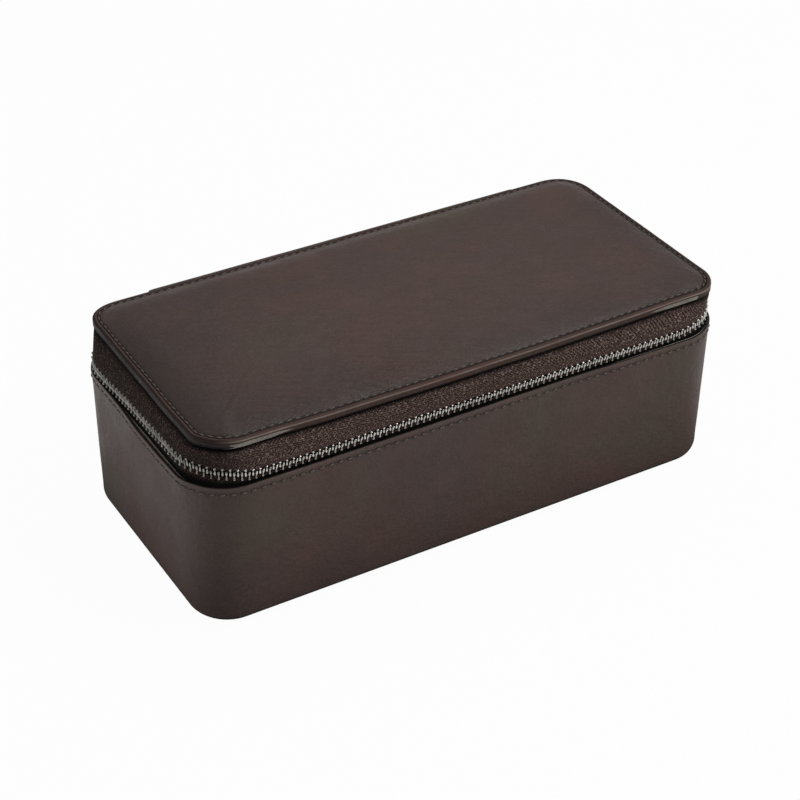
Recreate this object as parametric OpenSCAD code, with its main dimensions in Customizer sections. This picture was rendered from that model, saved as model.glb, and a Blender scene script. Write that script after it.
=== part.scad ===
// Zip-round travel case for four watches: a leather-covered box, a padded lid on a
// leather spine, and a metal zip chain between them.
// Origin at the middle of the underside, X along the length, front towards -Y, Z up.

/* [Base] */
// Length of the base at its bottom edge
base_w = 250; // [200:1:310]
// Depth of the base at its bottom edge
base_d = 116; // [96:1:145]
// Height of the leather wall
base_h = 70; // [56:1:90]
// Corner radius at the bottom edge
corner_r = 18; // [12:1:24]
// Growth of the corner radius from the bottom edge to the rim
corner_grow = 4; // [1:0.5:6]
// How far the rim stands out beyond the bottom edge on each side
rim_flare = 1.5; // [1.2:0.1:2.5]
// Radius of the fold along the bottom edge
fold_r = 3.2; // [2:0.2:5]
// Width of leather turned under the floor
turn_under = 12; // [6:1:20]
// Thickness of the outer leather
leather_t = 1.2; // [0.8:0.1:1.8]
// Thickness of the board in the walls and floor
board_t = 2.6; // [1.6:0.2:4]
// Thickness of the bottom panel
bottom_t = 0.8; // [0.6:0.1:1.2]
// How far the bottom panel stays inside the bottom edge
bottom_inset = 2.6; // [1:0.2:6]

/* [Lining insert] */
// Thickness of the lined inner wall
insert_t = 2.4; // [1.6:0.2:4]
// Distance from the lid's underside down to the top of the inner wall
insert_drop = 2.2; // [1.8:0.1:6]
// Thickness of the padded floor
floor_t = 2; // [1:0.5:5]
// Thickness of a divider
divider_t = 3; // [2:0.5:6]
// Height of a divider above the padded floor
divider_h = 54; // [30:1:60]

/* [Watch pillows] */
// Space between a pillow and the dividers on each side
pillow_side_gap = 2; // [1:0.5:4]
// Length of a pillow from front to back
pillow_l = 76; // [50:1:90]
// Height of a pillow
pillow_h = 44; // [30:1:50]

/* [Lid] */
// How far the lid's ends lie inside the rim of the base
lid_inset_x = 4.5; // [3:0.5:6]
// How far the lid's long edges lie inside the rim of the base
lid_inset_y = 0.9; // [0.5:0.1:3]
// Corner radius of the lid
lid_r = 16; // [12:1:20]
// Height of the open band between the rim and the lid's lower edge
zip_gap = 16.2; // [14:0.2:22]
// Height of the bound edge of the lid
edge_h = 3.8; // [3:0.2:6]
// Width of the bound edge on top, out to the seam
edge_w = 4.2; // [3:0.2:6]
// Thickness of the binding leather
binding_t = 1; // [0.7:0.1:1.4]
// Width of the binding under the lid
binding_under = 9; // [5:1:14]
// Rise of the padded top above the bound edge
crown = 3.4; // [2:0.2:8]
// Thickness of the lining panel under the lid
lid_lining_t = 1.2; // [0.8:0.1:1.4]

/* [Zip] */
// Distance between two teeth of one row
tooth_pitch = 2.87; // [2.4:0.01:3.6]
// Width of the meshed chain
chain_w = 5.2; // [4.8:0.1:6.2]
// Thickness of a tooth through the tape
tooth_t = 2.4; // [2:0.1:2.8]
// Clearance between the heads of neighbouring teeth
tooth_gap = 0.19; // [0.15:0.01:0.3]
// Thickness of the woven tape
tape_t = 0.8; // [0.6:0.05:1]
// Space between the slider and the rim of the base
rim_clear = 0.4; // [0.3:0.1:2]
// Depth of the lower tape behind the leather
tape_tuck = 10; // [6:1:16]
// How much wider the chain bends at the corners than the tape behind the leather
chain_ease = 4; // [0:0.5:4.5]
// Distance from each end of the hinge spine to the bend of the corner
spine_margin = 9.5; // [8:0.5:30]
// Thickness of the hinge spine
spine_t = 1.7; // [1.2:0.1:2.5]
// Depth of the hinge spine's sewn edge below the rim
spine_down = 15; // [8:1:24]

/* [Slider and pull] */
// Length of the slider
slider_l = 12.4; // [10:0.2:16]
// Thickness of a slider plate
plate_t = 1.1; // [0.8:0.1:1.6]
// Place of the closed slider, ahead of the rear right corner
slider_back = 10.5; // [9:0.5:20]
// Radius of the pull's wire
wire_r = 0.7; // [0.5:0.05:0.8]
// Length of the wire link between the middles of its bars
link_l = 10; // [8:0.5:14]
// Width of the wire link between the middles of its sides
link_w = 8; // [6:0.5:9]
// Length of the leather pull tab
tab_l = 24; // [16:1:34]
// Thickness of the leather pull tab
tab_t = 2.4; // [1.6:0.2:2.6]

/* [Hidden] */

// Colours
leather_brown = [0.25, 0.19, 0.165];
edge_brown = [0.30, 0.23, 0.20];
tape_brown = [0.20, 0.145, 0.125];
suede = [0.52, 0.44, 0.37];
board_grey = [0.45, 0.42, 0.38];
foam_cream = [0.85, 0.82, 0.72];
gunmetal = [0.42, 0.40, 0.37];

// Clearances
fit = 0.1;         // glued or sewn faces
sewn_gap = 0.4;    // tape behind the leather at the rim
slide_fit = 0.15;  // teeth in the slider, dividers in the insert
rest_gap = 0.3;    // a soft piece above what it rests on

// Facets of a quarter turn in the lofted shells
corner_steps = 12;
$fn = 64;

// Half sizes and corner radii of the outlines, each as [half length, half depth, radius]
bottom_outline = [base_w/2, base_d/2, corner_r];
rim_outline = [base_w/2 + rim_flare, base_d/2 + rim_flare, corner_r + corner_grow];
chain_inset = leather_t + sewn_gap + tape_t/2;
tape_outline = grow(rim_outline, -chain_inset);
chain_outline = tape_outline + [0, 0, chain_ease];
lid_outline = [rim_outline[0] - lid_inset_x, rim_outline[1] - lid_inset_y, lid_r];
board_reach = base_w/2 - leather_t - fit;
board_outline = grow(tape_outline, board_reach - tape_outline[0]);
insert_outline = grow(board_outline, -board_t - fit);
inner_half_w = insert_outline[0] - insert_t;
inner_half_d = insert_outline[1] - insert_t;

// Heights
turn_z = bottom_t + fit;
board_z = turn_z + leather_t + fit;
floor_z = board_z + board_t + fit;
floor_top = floor_z + floor_t;
board_top = base_h - 1;
lid_z = base_h + zip_gap;
edge_top = lid_z + edge_h;
insert_top = lid_z - insert_drop;

// Compartments
compartments = 4;
bay_w = (2*inner_half_w - (compartments - 1)*divider_t)/compartments;
pillow_w = bay_w - 2*pillow_side_gap;

// Zip teeth, measured from the chain's middle line
head_w = tooth_pitch/2 - tooth_gap;
head_tip = 0.9;
heel = chain_w/2;
slot_fit = 0.1;
tape_edge = 1.25;
chamfer = 0.3;

// Slider, measured from the chain's middle plane and middle line
cavity_t = tooth_t + 2*slide_fit;
plate_face = cavity_t/2 + plate_t;
tail_cavity = heel + 0.2;
mouth_cavity = tail_cavity + 0.5;
flange_t = 0.8;
slider_half_h = mouth_cavity + flange_t;
chain_z = base_h + rim_clear + slider_half_h;
tape_slot = tape_t + 0.4;
neck_half = 0.75;
arch_w = 2.2;
arch_half = 3.6;
pivot_out = plate_face + wire_r + 0.25;
window_half = wire_r + 0.2;
arch_t = 0.9;

// Chain path: it starts on the right side behind the slider's middle, and runs round the
// front and the left side to the spine
chain_r = chain_outline[2];
corner_x = chain_outline[0] - chain_r;
corner_y = chain_outline[1] - chain_r;
spine_half = corner_x - spine_margin;
slider_y = corner_y - slider_back;
first_tooth_y = slider_y + 1;
stop_l = 1.8;
bottom_stop_l = 3;
stop_gap = 0.3;
quarter = PI*chain_r/2;
side_run = 2*corner_y;
front_run = 2*corner_x;
back_run = corner_x - spine_half - 6;
chain_l = first_tooth_y + corner_y + 3*quarter + front_run + side_run + back_run;
tooth_count = floor(chain_l/tooth_pitch);

function grow(o, by) = [o[0] + by, o[1] + by, o[2] + by];
function mix(a, b, f) = a + (b - a)*f;

// A point of an outline, at a corner's middle (sx, sy) and the direction a
function edge_point(o, sx, sy, a) =
  [sx*(o[0] - o[2]) + o[2]*cos(a), sy*(o[1] - o[2]) + o[2]*sin(a)];

// A closed outline, counter-clockwise from the rear right corner
corner_signs = [[1, 1], [-1, 1], [-1, -1], [1, -1]];
function outline_points(o) = [
  for (k = [0:3], j = [0:corner_steps])
    edge_point(o, corner_signs[k][0], corner_signs[k][1], 90*(k + j/corner_steps))
];

// An outline left open at the back between the ends -x_end and +x_end, clockwise
function open_points(o, x_end) = concat(
  [[x_end, o[1]]],
  [
    for (k = [0:3], j = [0:corner_steps])
      edge_point(o, corner_signs[[0, 3, 2, 1][k]][0], corner_signs[[0, 3, 2, 1][k]][1],
        90 - 90*(k + j/corner_steps))
  ],
  [[-x_end, o[1]]]
);

// Joins rings of equally many points into one closed shell. Rings run along the first
// index. With wrap, the last ring joins the first, and else both ends are capped.
module skin(rings, wrap = false) {
  n = len(rings);
  m = len(rings[0]);
  points = [for (r = rings, p = r) p];
  sides = [
    for (i = [0:n - (wrap ? 1 : 2)], j = [0:m - 1])
      let (i2 = (i + 1) % n, j2 = (j + 1) % m)
      each [[i*m + j, i*m + j2, i2*m + j2], [i*m + j, i2*m + j2, i2*m + j]]
  ];
  caps = wrap ? [] : [[for (j = [m - 1:-1:0]) j], [for (j = [0:m - 1]) (n - 1)*m + j]];
  polyhedron(points, concat(sides, caps));
}

// A list in reverse order
function turned(list) = [for (i = [len(list) - 1:-1:0]) list[i]];

// A rounded rectangle, drawn flat
module panel(o) {
  for (s = [[o[0], o[1] - o[2]], [o[0] - o[2], o[1]]])
    square(2*s, center = true);
  for (x = [-1, 1], y = [-1, 1])
    translate([x*(o[0] - o[2]), y*(o[1] - o[2])]) circle(o[2]);
}

// Sweeps a cross-section round an outline. In the cross-section, X points outwards from
// the outline and Y is the height.
module round_sweep(o) {
  for (k = [0:3]) {
    along_x = k % 2 == 0;
    run = 2*((along_x ? o[0] : o[1]) - o[2]);
    side = (along_x ? o[1] : o[0]) - o[2];
    rotate(90*k) {
      translate([-run/2, -side, 0]) rotate([90, 0, 90])
        linear_extrude(run) mirror([1, 0]) translate([o[2], 0]) children();
      translate([run/2, -side, 0]) rotate(-90)
        rotate_extrude(angle = 90) translate([o[2], 0]) children();
    }
  }
}

// Points of a quarter turn round c, from angle a to angle b
function arc(c, r, a, b, steps = 4) = [
  for (i = [0:steps]) c + r*[cos(mix(a, b, i/steps)), sin(mix(a, b, i/steps))]
];

// The middle of the chain at the distance s from its first tooth, with its outward
// direction a, as [x, y, a]
function chain_place(s) =
  let (
    runs = [first_tooth_y + corner_y, front_run, side_run, back_run],
    starts = [
      0, runs[0] + quarter, runs[0] + runs[1] + 2*quarter,
      runs[0] + runs[1] + runs[2] + 3*quarter
    ],
    k = s < starts[1] ? 0 : s < starts[2] ? 1 : s < starts[3] ? 2 : 3,
    d = s - starts[k],
    on_run = d <= runs[k] || k == 3,
    from = [
      [corner_x, first_tooth_y], [corner_x, -corner_y],
      [-corner_x, -corner_y], [-corner_x, corner_y]
    ][k],
    a = -90*k - (on_run ? 0 : 90*(d - runs[k])/quarter),
    travel = (k == 3 ? d : min(d, runs[k]))*[sin(-90*k), -cos(-90*k)]
  )
  [
    from[0] + travel[0] + chain_r*cos(a),
    from[1] + travel[1] + chain_r*sin(a),
    a
  ];

// Places a piece on the chain: its X runs along the chain away from the slider, its Y
// points out of the case and its Z is up from the chain's middle line
module on_chain(s) {
  p = chain_place(s);
  translate([p[0], p[1], chain_z]) rotate(p[2] - 90) children();
}

// Base

// The leaning wall's outline at the height z, drawn in by an inset
function wall_outline(z, inset) =
  let (f = z/base_h)
  [
    mix(bottom_outline[0], rim_outline[0], f) - inset,
    mix(bottom_outline[1], rim_outline[1], f) - inset,
    mix(bottom_outline[2], rim_outline[2], f) - inset
  ];

// Outer and inner faces of the leather wall, as [inset, height] from the turned-under
// edge, round the fold, to the rim and back
rim_round = 0.35;
leather_profile = concat(
  [[turn_under, turn_z]],
  arc([fold_r, turn_z + fold_r], fold_r, 270, 180),
  [
    [0, base_h - rim_round], [rim_round, base_h],
    [leather_t - rim_round, base_h], [leather_t, base_h - rim_round]
  ],
  arc([fold_r, turn_z + fold_r], fold_r - leather_t, 180, 270),
  [[turn_under, turn_z + leather_t]]
);

module base_leather() color(leather_brown)
  skin([for (i = [0:4*(corner_steps + 1) - 1])
    [for (p = leather_profile)
      let (q = outline_points(wall_outline(p[1], p[0]))[i]) [q[0], q[1], p[1]]]
  ], wrap = true);

// The board's lower edge is rounded to lie in the fold of the leather
fold_in = fold_r - leather_t - fit;
module base_board() color(board_grey) {
  round_sweep(board_outline) polygon(concat(
    [[-board_t, board_z]],
    arc([-fold_in, board_z + fold_in], fold_in, 270, 360),
    [[0, board_top], [-board_t, board_top]]
  ));
  translate([0, 0, board_z]) linear_extrude(board_t) panel(grow(board_outline, -board_t + 0.2));
}

module base_bottom_leather() color(leather_brown)
  linear_extrude(bottom_t) panel(grow(bottom_outline, -bottom_inset));

// Lining insert

module insert_wall() color(suede) round_sweep(insert_outline)
  polygon(concat(
    [[-insert_t, floor_z], [0, floor_z]],
    arc([-insert_t/2, insert_top - insert_t/2], insert_t/2, 0, 180, 8)
  ));

module insert_floor() color(suede) translate([0, 0, floor_z])
  linear_extrude(floor_t) panel(grow(insert_outline, -insert_t - fit));

module divider(i) color(suede) {
  x = -inner_half_w + i*bay_w + (i - 0.5)*divider_t;
  translate([x, 0, floor_top + fit]) rotate([90, 0, 0])
    linear_extrude(2*(inner_half_d - slide_fit), center = true) polygon(concat(
      [[-divider_t/2, 0], [divider_t/2, 0]],
      arc([0, divider_h - divider_t/2], divider_t/2, 0, 180, 8)
    ));
}

// Watch pillows: a wrapped body with crowned ends

pillow_turns = 32;
pillow_square = 3.2;
// Place along the width and size of each ring
pillow_rings = [
  [-1, 0.80], [-0.97, 0.90], [-0.88, 0.965], [-0.6, 1], [0, 0.985],
  [0.6, 1], [0.88, 0.965], [0.97, 0.90], [1, 0.80]
];
function squircle(a) =
  pow(pow(abs(cos(a)), pillow_square) + pow(abs(sin(a)), pillow_square), -1/pillow_square);

module pillow(i) color(suede) {
  x = -inner_half_w + (i - 0.5)*bay_w + (i - 1)*divider_t;
  translate([x, 0, floor_top + rest_gap + pillow_h/2]) skin([
    for (r = pillow_rings) [
      for (k = [0:pillow_turns - 1])
        let (a = 360*k/pillow_turns, q = r[1]*squircle(a))
        [r[0]*pillow_w/2, q*cos(a)*pillow_l/2, q*sin(a)*pillow_h/2]
    ]
  ]);
}

// Zip tapes

tape_end = spine_half - 5;

// The lower tape stands against the leather up to the rim, and leans in to the chain at
// the corners. Its levels are [share of the way to the chain's outline, height].
lower_levels = [
  [0, base_h - tape_tuck], [0, base_h], [1, chain_z - heel], [1, chain_z + tape_edge - fit]
];
lower_profile = concat(
  [for (l = lower_levels) [l[0], tape_t/2, l[1]]],
  [for (l = turned(lower_levels)) [l[0], -tape_t/2, l[1]]]
);

// The tape is cut away above its edge where it carries teeth. Behind the top stops and
// past the bottom stop it rises to the other tape, as the two are sewn together there.
module zip_tape_lower() color(tape_brown) difference() {
  skin([for (i = [0:4*(corner_steps + 1) - 1])
    [for (p = lower_profile)
      let (q = outline_points(grow(mix(tape_outline, chain_outline, p[0]), p[1]))[i])
      [q[0], q[1], p[2]]]
  ], wrap = true);
  translate([-tape_end, 0, 0]) cube([2*tape_end, base_d, lid_z]);
  translate([-base_w, -base_d, chain_z - tape_edge])
    cube([2*base_w, base_d + stop_y + stop_l/2, zip_gap]);
  translate([-base_w, 0, chain_z - tape_edge])
    cube([base_w + chain_place(bottom_stop_s + bottom_stop_l/2)[0], base_d, zip_gap]);
}

// Cross-section of the upper tape, from the chain up, in under the lid and back, as
// [share of the way from the chain's outline to the lid's, outset, height]
lean_z = chain_z + slider_half_h;
flange_z = lid_z - fit;
tape_profile = [
  [0, tape_t/2, chain_z + tape_edge], [0, tape_t/2, lean_z],
  [0.5, tape_t/2 - 0.1, mix(lean_z, flange_z, 0.52)],
  [1, -0.6, flange_z - 0.5], [1, -1.1, flange_z],
  [1, -binding_under + 1, flange_z], [1, -binding_under + 1, flange_z - tape_t],
  [1, -1.7, flange_z - tape_t], [0.5, -tape_t/2 - 0.1, mix(lean_z, flange_z, 0.48)],
  [0, -tape_t/2, lean_z], [0, -tape_t/2, chain_z + tape_edge]
];

module zip_tape_upper() color(tape_brown)
  skin([for (i = [0:4*(corner_steps + 1) + 1])
    [for (p = turned(tape_profile))
      let (q = open_points(grow(mix(chain_outline, lid_outline, p[0]), p[1]), tape_end)[i])
      [q[0], q[1], p[2]]]
  ]);

// Zip teeth: each is a bar with a rounded heel, a waist, and a head that reaches between
// two heads of the other row. A slot in its heel clamps the tape.

waist_w = 0.7*head_w;
tooth_side = [
  [head_w/2 - chamfer, -head_tip], [head_w/2, chamfer - head_tip], [head_w/2, 0.55],
  [waist_w/2, 0.95], [waist_w/2, 1.35], [head_w/2, 1.75], [head_w/2, heel - chamfer],
  [head_w/2 - chamfer, heel]
];

module tooth() difference() {
  rotate([90, 0, 0]) linear_extrude(tooth_t, center = true)
    polygon(concat(tooth_side, [for (p = turned(tooth_side)) [-p[0], p[1]]]));
  translate([-head_w, -tape_t/2 - slot_fit, tape_edge - slot_fit])
    cube([2*head_w, tape_t + 2*slot_fit, chain_w]);
}

module zip_teeth_upper() color(gunmetal)
  for (i = [0:tooth_count]) on_chain(i*tooth_pitch) tooth();

module zip_teeth_lower() color(gunmetal)
  for (i = [0:tooth_count - 1]) on_chain((i + 0.5)*tooth_pitch) mirror([0, 0, 1]) tooth();

// A metal clip over the edge of one tape, from the height foot up
module clip(l, foot) difference() {
  translate([-l/2, -tooth_t/2, foot]) cube([l, tooth_t, heel - foot]);
  translate([-l, -tape_t/2 - slot_fit, tape_edge - slot_fit])
    cube([2*l, tape_t + 2*slot_fit, chain_w]);
}

// The top stops stand behind the closed slider's mouth, one on each tape
stop_y = slider_y + slider_l/2 + stop_gap + stop_l/2;
module at_top_stop() translate([chain_outline[0], stop_y, chain_z]) rotate(-90) children();

module zip_stop_upper() color(gunmetal) at_top_stop() clip(stop_l, tape_edge - 0.4);
module zip_stop_lower() color(gunmetal) at_top_stop() mirror([0, 0, 1])
  clip(stop_l, tape_edge - 0.4);

// The bottom stop ends the chain by the spine, and sits on the lower tape
bottom_stop_s = tooth_count*tooth_pitch + head_w/2 + stop_gap + bottom_stop_l/2;
module zip_bottom_stop() color(gunmetal) on_chain(bottom_stop_s) mirror([0, 0, 1])
  clip(bottom_stop_l, -0.6);

// Hinge spine: a leather strip sewn to the back of the base and to the lid's back edge

spine_lower_y = wall_outline(base_h, 0)[1] + fit;
spine_foot_y = wall_outline(base_h - spine_down, 0)[1] + fit;
spine_upper_y = lid_outline[1] + fit;
spine_top = edge_top - 0.5;
spine_face = [
  [spine_foot_y, base_h - spine_down], [spine_lower_y, base_h + 1],
  [spine_upper_y, lid_z - 1], [spine_upper_y, spine_top]
];

module hinge_spine() color(leather_brown)
  rotate([90, 0, 90]) linear_extrude(2*spine_half, center = true)
    polygon(concat(
      spine_face,
      [for (p = turned(spine_face)) [p[0] + spine_t, p[1]]]
    ));

// Lid

board_in = binding_t + fit;
lid_board_z = lid_z + binding_t + fit;
lid_board_t = edge_h - 2*(binding_t + fit);

module lid_board() color(board_grey) translate([0, 0, lid_board_z])
  linear_extrude(lid_board_t) panel(grow(lid_outline, -board_in));

// Cross-section of the binding: over the edge of the board, round it and back under
lower_r = 1.2;
upper_r = 1.5;
module lid_edge_binding() color(edge_brown) round_sweep(lid_outline)
  polygon(concat(
    [[-binding_under, lid_z]],
    arc([-lower_r, lid_z + lower_r], lower_r, 270, 360),
    arc([-upper_r, edge_top - upper_r], upper_r, 0, 90),
    [
      [-edge_w, edge_top], [-edge_w, edge_top - binding_t],
      [-binding_t, edge_top - binding_t], [-binding_t, lid_z + binding_t],
      [-binding_under, lid_z + binding_t]
    ]
  ));

// The padded top rises in a soft shoulder from the seam, then runs on nearly flat. Its
// rings shrink towards the middle, as [inset from the seam, share of the crown].
crown_rings = [
  [0, 0], [1.2, 0.2], [3.2, 0.42], [6.5, 0.62], [12, 0.8], [20, 0.92], [32, 0.985], [44, 1]
];
seam_outline = grow(lid_outline, -edge_w - fit);
function shrunk(o, by) = [o[0] - by, o[1] - by, max(o[2] - by, 3)];
function crown_ring(r, z0, rise) = [
  for (q = outline_points(shrunk(seam_outline, r[0]))) [q[0], q[1], z0 + rise*r[1]]
];

foam_z = edge_top - binding_t;
leather_z = edge_top - leather_t;
inner_rings = [for (i = [1:len(crown_rings) - 1]) crown_rings[i]];

module lid_foam() color(foam_cream)
  skin(concat(
    [crown_ring([leather_t + fit, 0], foam_z, 0)],
    [for (r = inner_rings) crown_ring([r[0] + fit, r[1]], leather_z - fit, crown)]
  ));

module lid_leather() color(leather_brown)
  skin(concat(
    [for (r = turned(inner_rings)) crown_ring(r, leather_z, crown)],
    [crown_ring([leather_t, 0], foam_z, 0)],
    [for (r = crown_rings) crown_ring(r, edge_top, crown)]
  ));

module lid_lining() color(suede) translate([0, 0, lid_z - lid_lining_t])
  linear_extrude(lid_lining_t) panel(grow(lid_outline, -binding_under - fit));

// Slider: two plates joined by the neck between them, with flanges that hold the teeth in.
// Its X runs to the tail, where the meshed chain enters, and its mouth is at the rear.

module slider_plan(tail, mouth) polygon([
  [-slider_l/2, mouth - 0.8], [0.8 - slider_l/2, mouth], [-1.2, mouth], [1.2, tail],
  [slider_l/2 - 0.8, tail], [slider_l/2, tail - 0.8],
  [slider_l/2, 0.8 - tail], [slider_l/2 - 0.8, -tail],
  [1.2, -tail], [-1.2, -mouth], [0.8 - slider_l/2, -mouth], [-slider_l/2, 0.8 - mouth]
]);

module cavity_plan(tail, mouth) polygon([
  [-slider_l, mouth], [-1.2, mouth], [1.2, tail], [slider_l, tail],
  [slider_l, -tail], [1.2, -tail], [-1.2, -mouth], [-slider_l, -mouth]
]);

module flat(t) rotate([90, 0, 0]) linear_extrude(t, center = true) children();

module at_slider() translate([chain_outline[0], slider_y, chain_z]) rotate(-90) children();

module slider_body() color(gunmetal) at_slider() {
  difference() {
    flat(2*plate_face) slider_plan(tail_cavity + flange_t, mouth_cavity + flange_t);
    flat(cavity_t) cavity_plan(tail_cavity, mouth_cavity);
    cube([2*slider_l, tape_slot, chain_w*4], center = true);
  }
  flat(cavity_t + plate_t) polygon([
    [1.0 - slider_l/2, 0], [2.6 - slider_l/2, neck_half], [-2.2, 0], [2.6 - slider_l/2, -neck_half]
  ]);
  // Arch that holds the pull
  linear_extrude(arch_w, center = true) difference() {
    intersection() {
      translate([0, pivot_out - arch_half]) circle(arch_half + window_half + arch_t);
      translate([-arch_half, plate_face - 0.3]) square([2*arch_half, 9]);
    }
    translate([-window_half, 0]) square([2*window_half, pivot_out + window_half]);
  }
}

// Pull: a wire link in the slider's arch, with a leather tab folded round its far bar

link_r = 1.4;
module at_pull() at_slider() translate([0, pivot_out, 0]) children();

module wire_bar(l) cylinder(h = l, r = wire_r, center = true);
module wire_bend() rotate([90, 0, 0]) rotate_extrude(angle = 90)
  translate([link_r, 0]) circle(wire_r);

module pull_link() color(gunmetal) at_pull() {
  for (x = [0, link_l]) translate([x, 0, 0]) wire_bar(link_w - 2*link_r);
  for (z = [-1, 1]) translate([link_l/2, 0, z*link_w/2]) rotate([0, 90, 0])
    wire_bar(link_l - 2*link_r);
  for (x = [0, 1], z = [0, 1]) mirror([0, 0, z]) translate([link_l/2, 0, 0]) mirror([x, 0, 0])
    translate([link_l/2 - link_r, 0, link_w/2 - link_r]) wire_bend();
}

loop_t = 0.8;
tab_w = link_w - 2*link_r - 0.4;
rivet_x = link_l + 4.4;
rivet_r = 0.9;
rivet_head_r = 1.7;
rivet_head_t = 0.5;

module pull_tab() color(leather_brown) at_pull() difference() {
  intersection() {
    linear_extrude(tab_w, center = true) {
      translate([link_l, 0]) circle(wire_r + 0.05 + loop_t);
      translate([link_l, -tab_t/2]) square([tab_l, tab_t]);
    }
    flat(4*tab_t) hull() {
      translate([link_l - 2, -tab_w/2]) square([2, tab_w]);
      translate([link_l + tab_l - tab_w/2, 0]) circle(tab_w/2);
    }
  }
  translate([link_l, 0, 0]) cylinder(h = 2*tab_w, r = wire_r + 0.05, center = true);
  translate([rivet_x, 0, 0]) rotate([90, 0, 0])
    cylinder(h = 2*tab_t, r = rivet_r + 0.05, center = true);
}

module pull_rivet() color(gunmetal) at_pull() translate([rivet_x, 0, 0])
  rotate([90, 0, 0]) {
    cylinder(h = tab_t + 0.2, r = rivet_r, center = true);
    for (z = [0, 1]) mirror([0, 0, z]) translate([0, 0, tab_t/2 + 0.05])
      cylinder(h = rivet_head_t, r = rivet_head_r);
  }

base_board();
base_leather();
base_bottom_leather();
insert_wall();
insert_floor();
divider(1);  // divider_1
divider(2);  // divider_2
divider(3);  // divider_3
pillow(1);  // pillow_1
pillow(2);  // pillow_2
pillow(3);  // pillow_3
pillow(4);  // pillow_4
zip_tape_lower();
zip_teeth_lower();
zip_stop_lower();
zip_bottom_stop();
hinge_spine();
lid_board();
lid_foam();
lid_leather();
lid_edge_binding();
lid_lining();
zip_tape_upper();
zip_teeth_upper();
zip_stop_upper();
slider_body();
pull_link();
pull_tab();
pull_rivet();
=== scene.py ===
"""Zip-round leather travel case for four watches, dressed on its CAD frame."""

import math
import random
import bmesh
import bpy
import numpy as np
from mathutils import Matrix, Vector, noise


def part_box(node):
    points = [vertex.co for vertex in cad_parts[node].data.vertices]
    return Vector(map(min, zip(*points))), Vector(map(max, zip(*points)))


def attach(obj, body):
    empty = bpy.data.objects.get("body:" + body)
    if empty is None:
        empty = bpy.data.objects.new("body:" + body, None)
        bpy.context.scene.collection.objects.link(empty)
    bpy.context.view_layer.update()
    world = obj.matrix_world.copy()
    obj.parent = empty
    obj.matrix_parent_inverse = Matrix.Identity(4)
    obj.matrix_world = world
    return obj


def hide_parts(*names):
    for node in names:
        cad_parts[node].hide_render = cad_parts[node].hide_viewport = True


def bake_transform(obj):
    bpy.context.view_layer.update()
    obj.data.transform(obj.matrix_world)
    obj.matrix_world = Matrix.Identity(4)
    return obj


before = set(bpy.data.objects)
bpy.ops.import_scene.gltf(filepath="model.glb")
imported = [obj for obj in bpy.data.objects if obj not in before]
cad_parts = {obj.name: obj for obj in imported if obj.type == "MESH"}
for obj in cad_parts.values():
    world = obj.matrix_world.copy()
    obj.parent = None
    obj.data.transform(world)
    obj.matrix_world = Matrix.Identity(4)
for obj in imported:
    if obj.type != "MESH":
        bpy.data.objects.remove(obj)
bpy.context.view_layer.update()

MM = 0.001

# Outlines as (half length, half depth, corner radius) in millimetres, as in the CAD
BOTTOM = (125.0, 58.0, 18.0)
RIM = (126.5, 59.5, 22.0)
TAPE_FOOT = (124.5, 57.5, 20.0)
CHAIN = (124.5, 57.5, 24.0)
LID = (122.0, 58.6, 16.0)
INSERT = (121.0, 54.0, 16.5)
BASE_H = 70.0
LID_Z = 86.2
EDGE_TOP = 90.0
CHAIN_Z = 74.5
LEATHER = 1.2
SEAM_IN = 3.0
CROWN = 3.4
SPINE_HALF = 91.0
SPINE_T = 1.7
SPINE_FOOT_Z = 55.0
SPINE_TOP_Z = 89.5
SPINE_SEAMS = (58.2, 87.8)
TAPE_END = 86.0
PITCH = 2.87
STITCH_PITCH = 4.2
LID_PITCH = 3.7
FIRST_TOOTH_Y = 24.0
TEETH = 154


# Materials


def node(tree, kind, inputs=None, **props):
    """A shader node with its properties and its inputs, by name or by number."""
    made = tree.nodes.new(kind)
    for key, value in props.items():
        setattr(made, key, value)
    for key, value in (inputs or {}).items():
        if isinstance(value, bpy.types.NodeSocket):
            tree.links.new(value, made.inputs[key])
        else:
            made.inputs[key].default_value = value
    return made


def start_material(name):
    mat = bpy.data.materials.new(name)
    mat.use_nodes = True
    mat.node_tree.nodes.clear()
    return mat, mat.node_tree


def end_material(mat, tree, inputs):
    """Ends a material with its shader, whose fixed values stand on its own sockets."""
    shader = node(tree, "ShaderNodeBsdfPrincipled", inputs)
    node(tree, "ShaderNodeOutputMaterial", {0: shader.outputs[0]})
    return mat


def coords(tree, scale=(1, 1, 1), turn=0.0):
    """Object coordinates, turned about Z by an angle in degrees and scaled along the turned axes."""
    position = node(tree, "ShaderNodeTexCoord").outputs["Object"]
    if turn:
        position = node(tree, "ShaderNodeMapping", {
            "Vector": position, "Rotation": (0, 0, math.radians(turn))}).outputs[0]
    return node(tree, "ShaderNodeMapping", {"Vector": position, "Scale": scale}).outputs[0]


def noise_fac(tree, vector, scale, detail=3.0, rough=0.55, distortion=0.0):
    return node(tree, "ShaderNodeTexNoise", {
        "Vector": vector, "Scale": scale, "Detail": detail, "Roughness": rough,
        "Distortion": distortion}).outputs["Fac"]


def remap(tree, value, a, b, lo, hi):
    return node(tree, "ShaderNodeMapRange", {
        "Value": value, "From Min": a, "From Max": b, "To Min": lo, "To Max": hi}).outputs[0]


def math_node(tree, operation, a, b=0.0, c=0.0):
    return node(tree, "ShaderNodeMath", {0: a, 1: b, 2: c}, operation=operation).outputs[0]


def mix_colour(tree, fac, a, b, blend="MIX"):
    inputs = {key: (*value, 1) if isinstance(value, tuple) else value for key, value in ((0, fac), (6, a), (7, b))}
    return node(tree, "ShaderNodeMix", inputs, data_type="RGBA", blend_type=blend).outputs[2]


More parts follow.
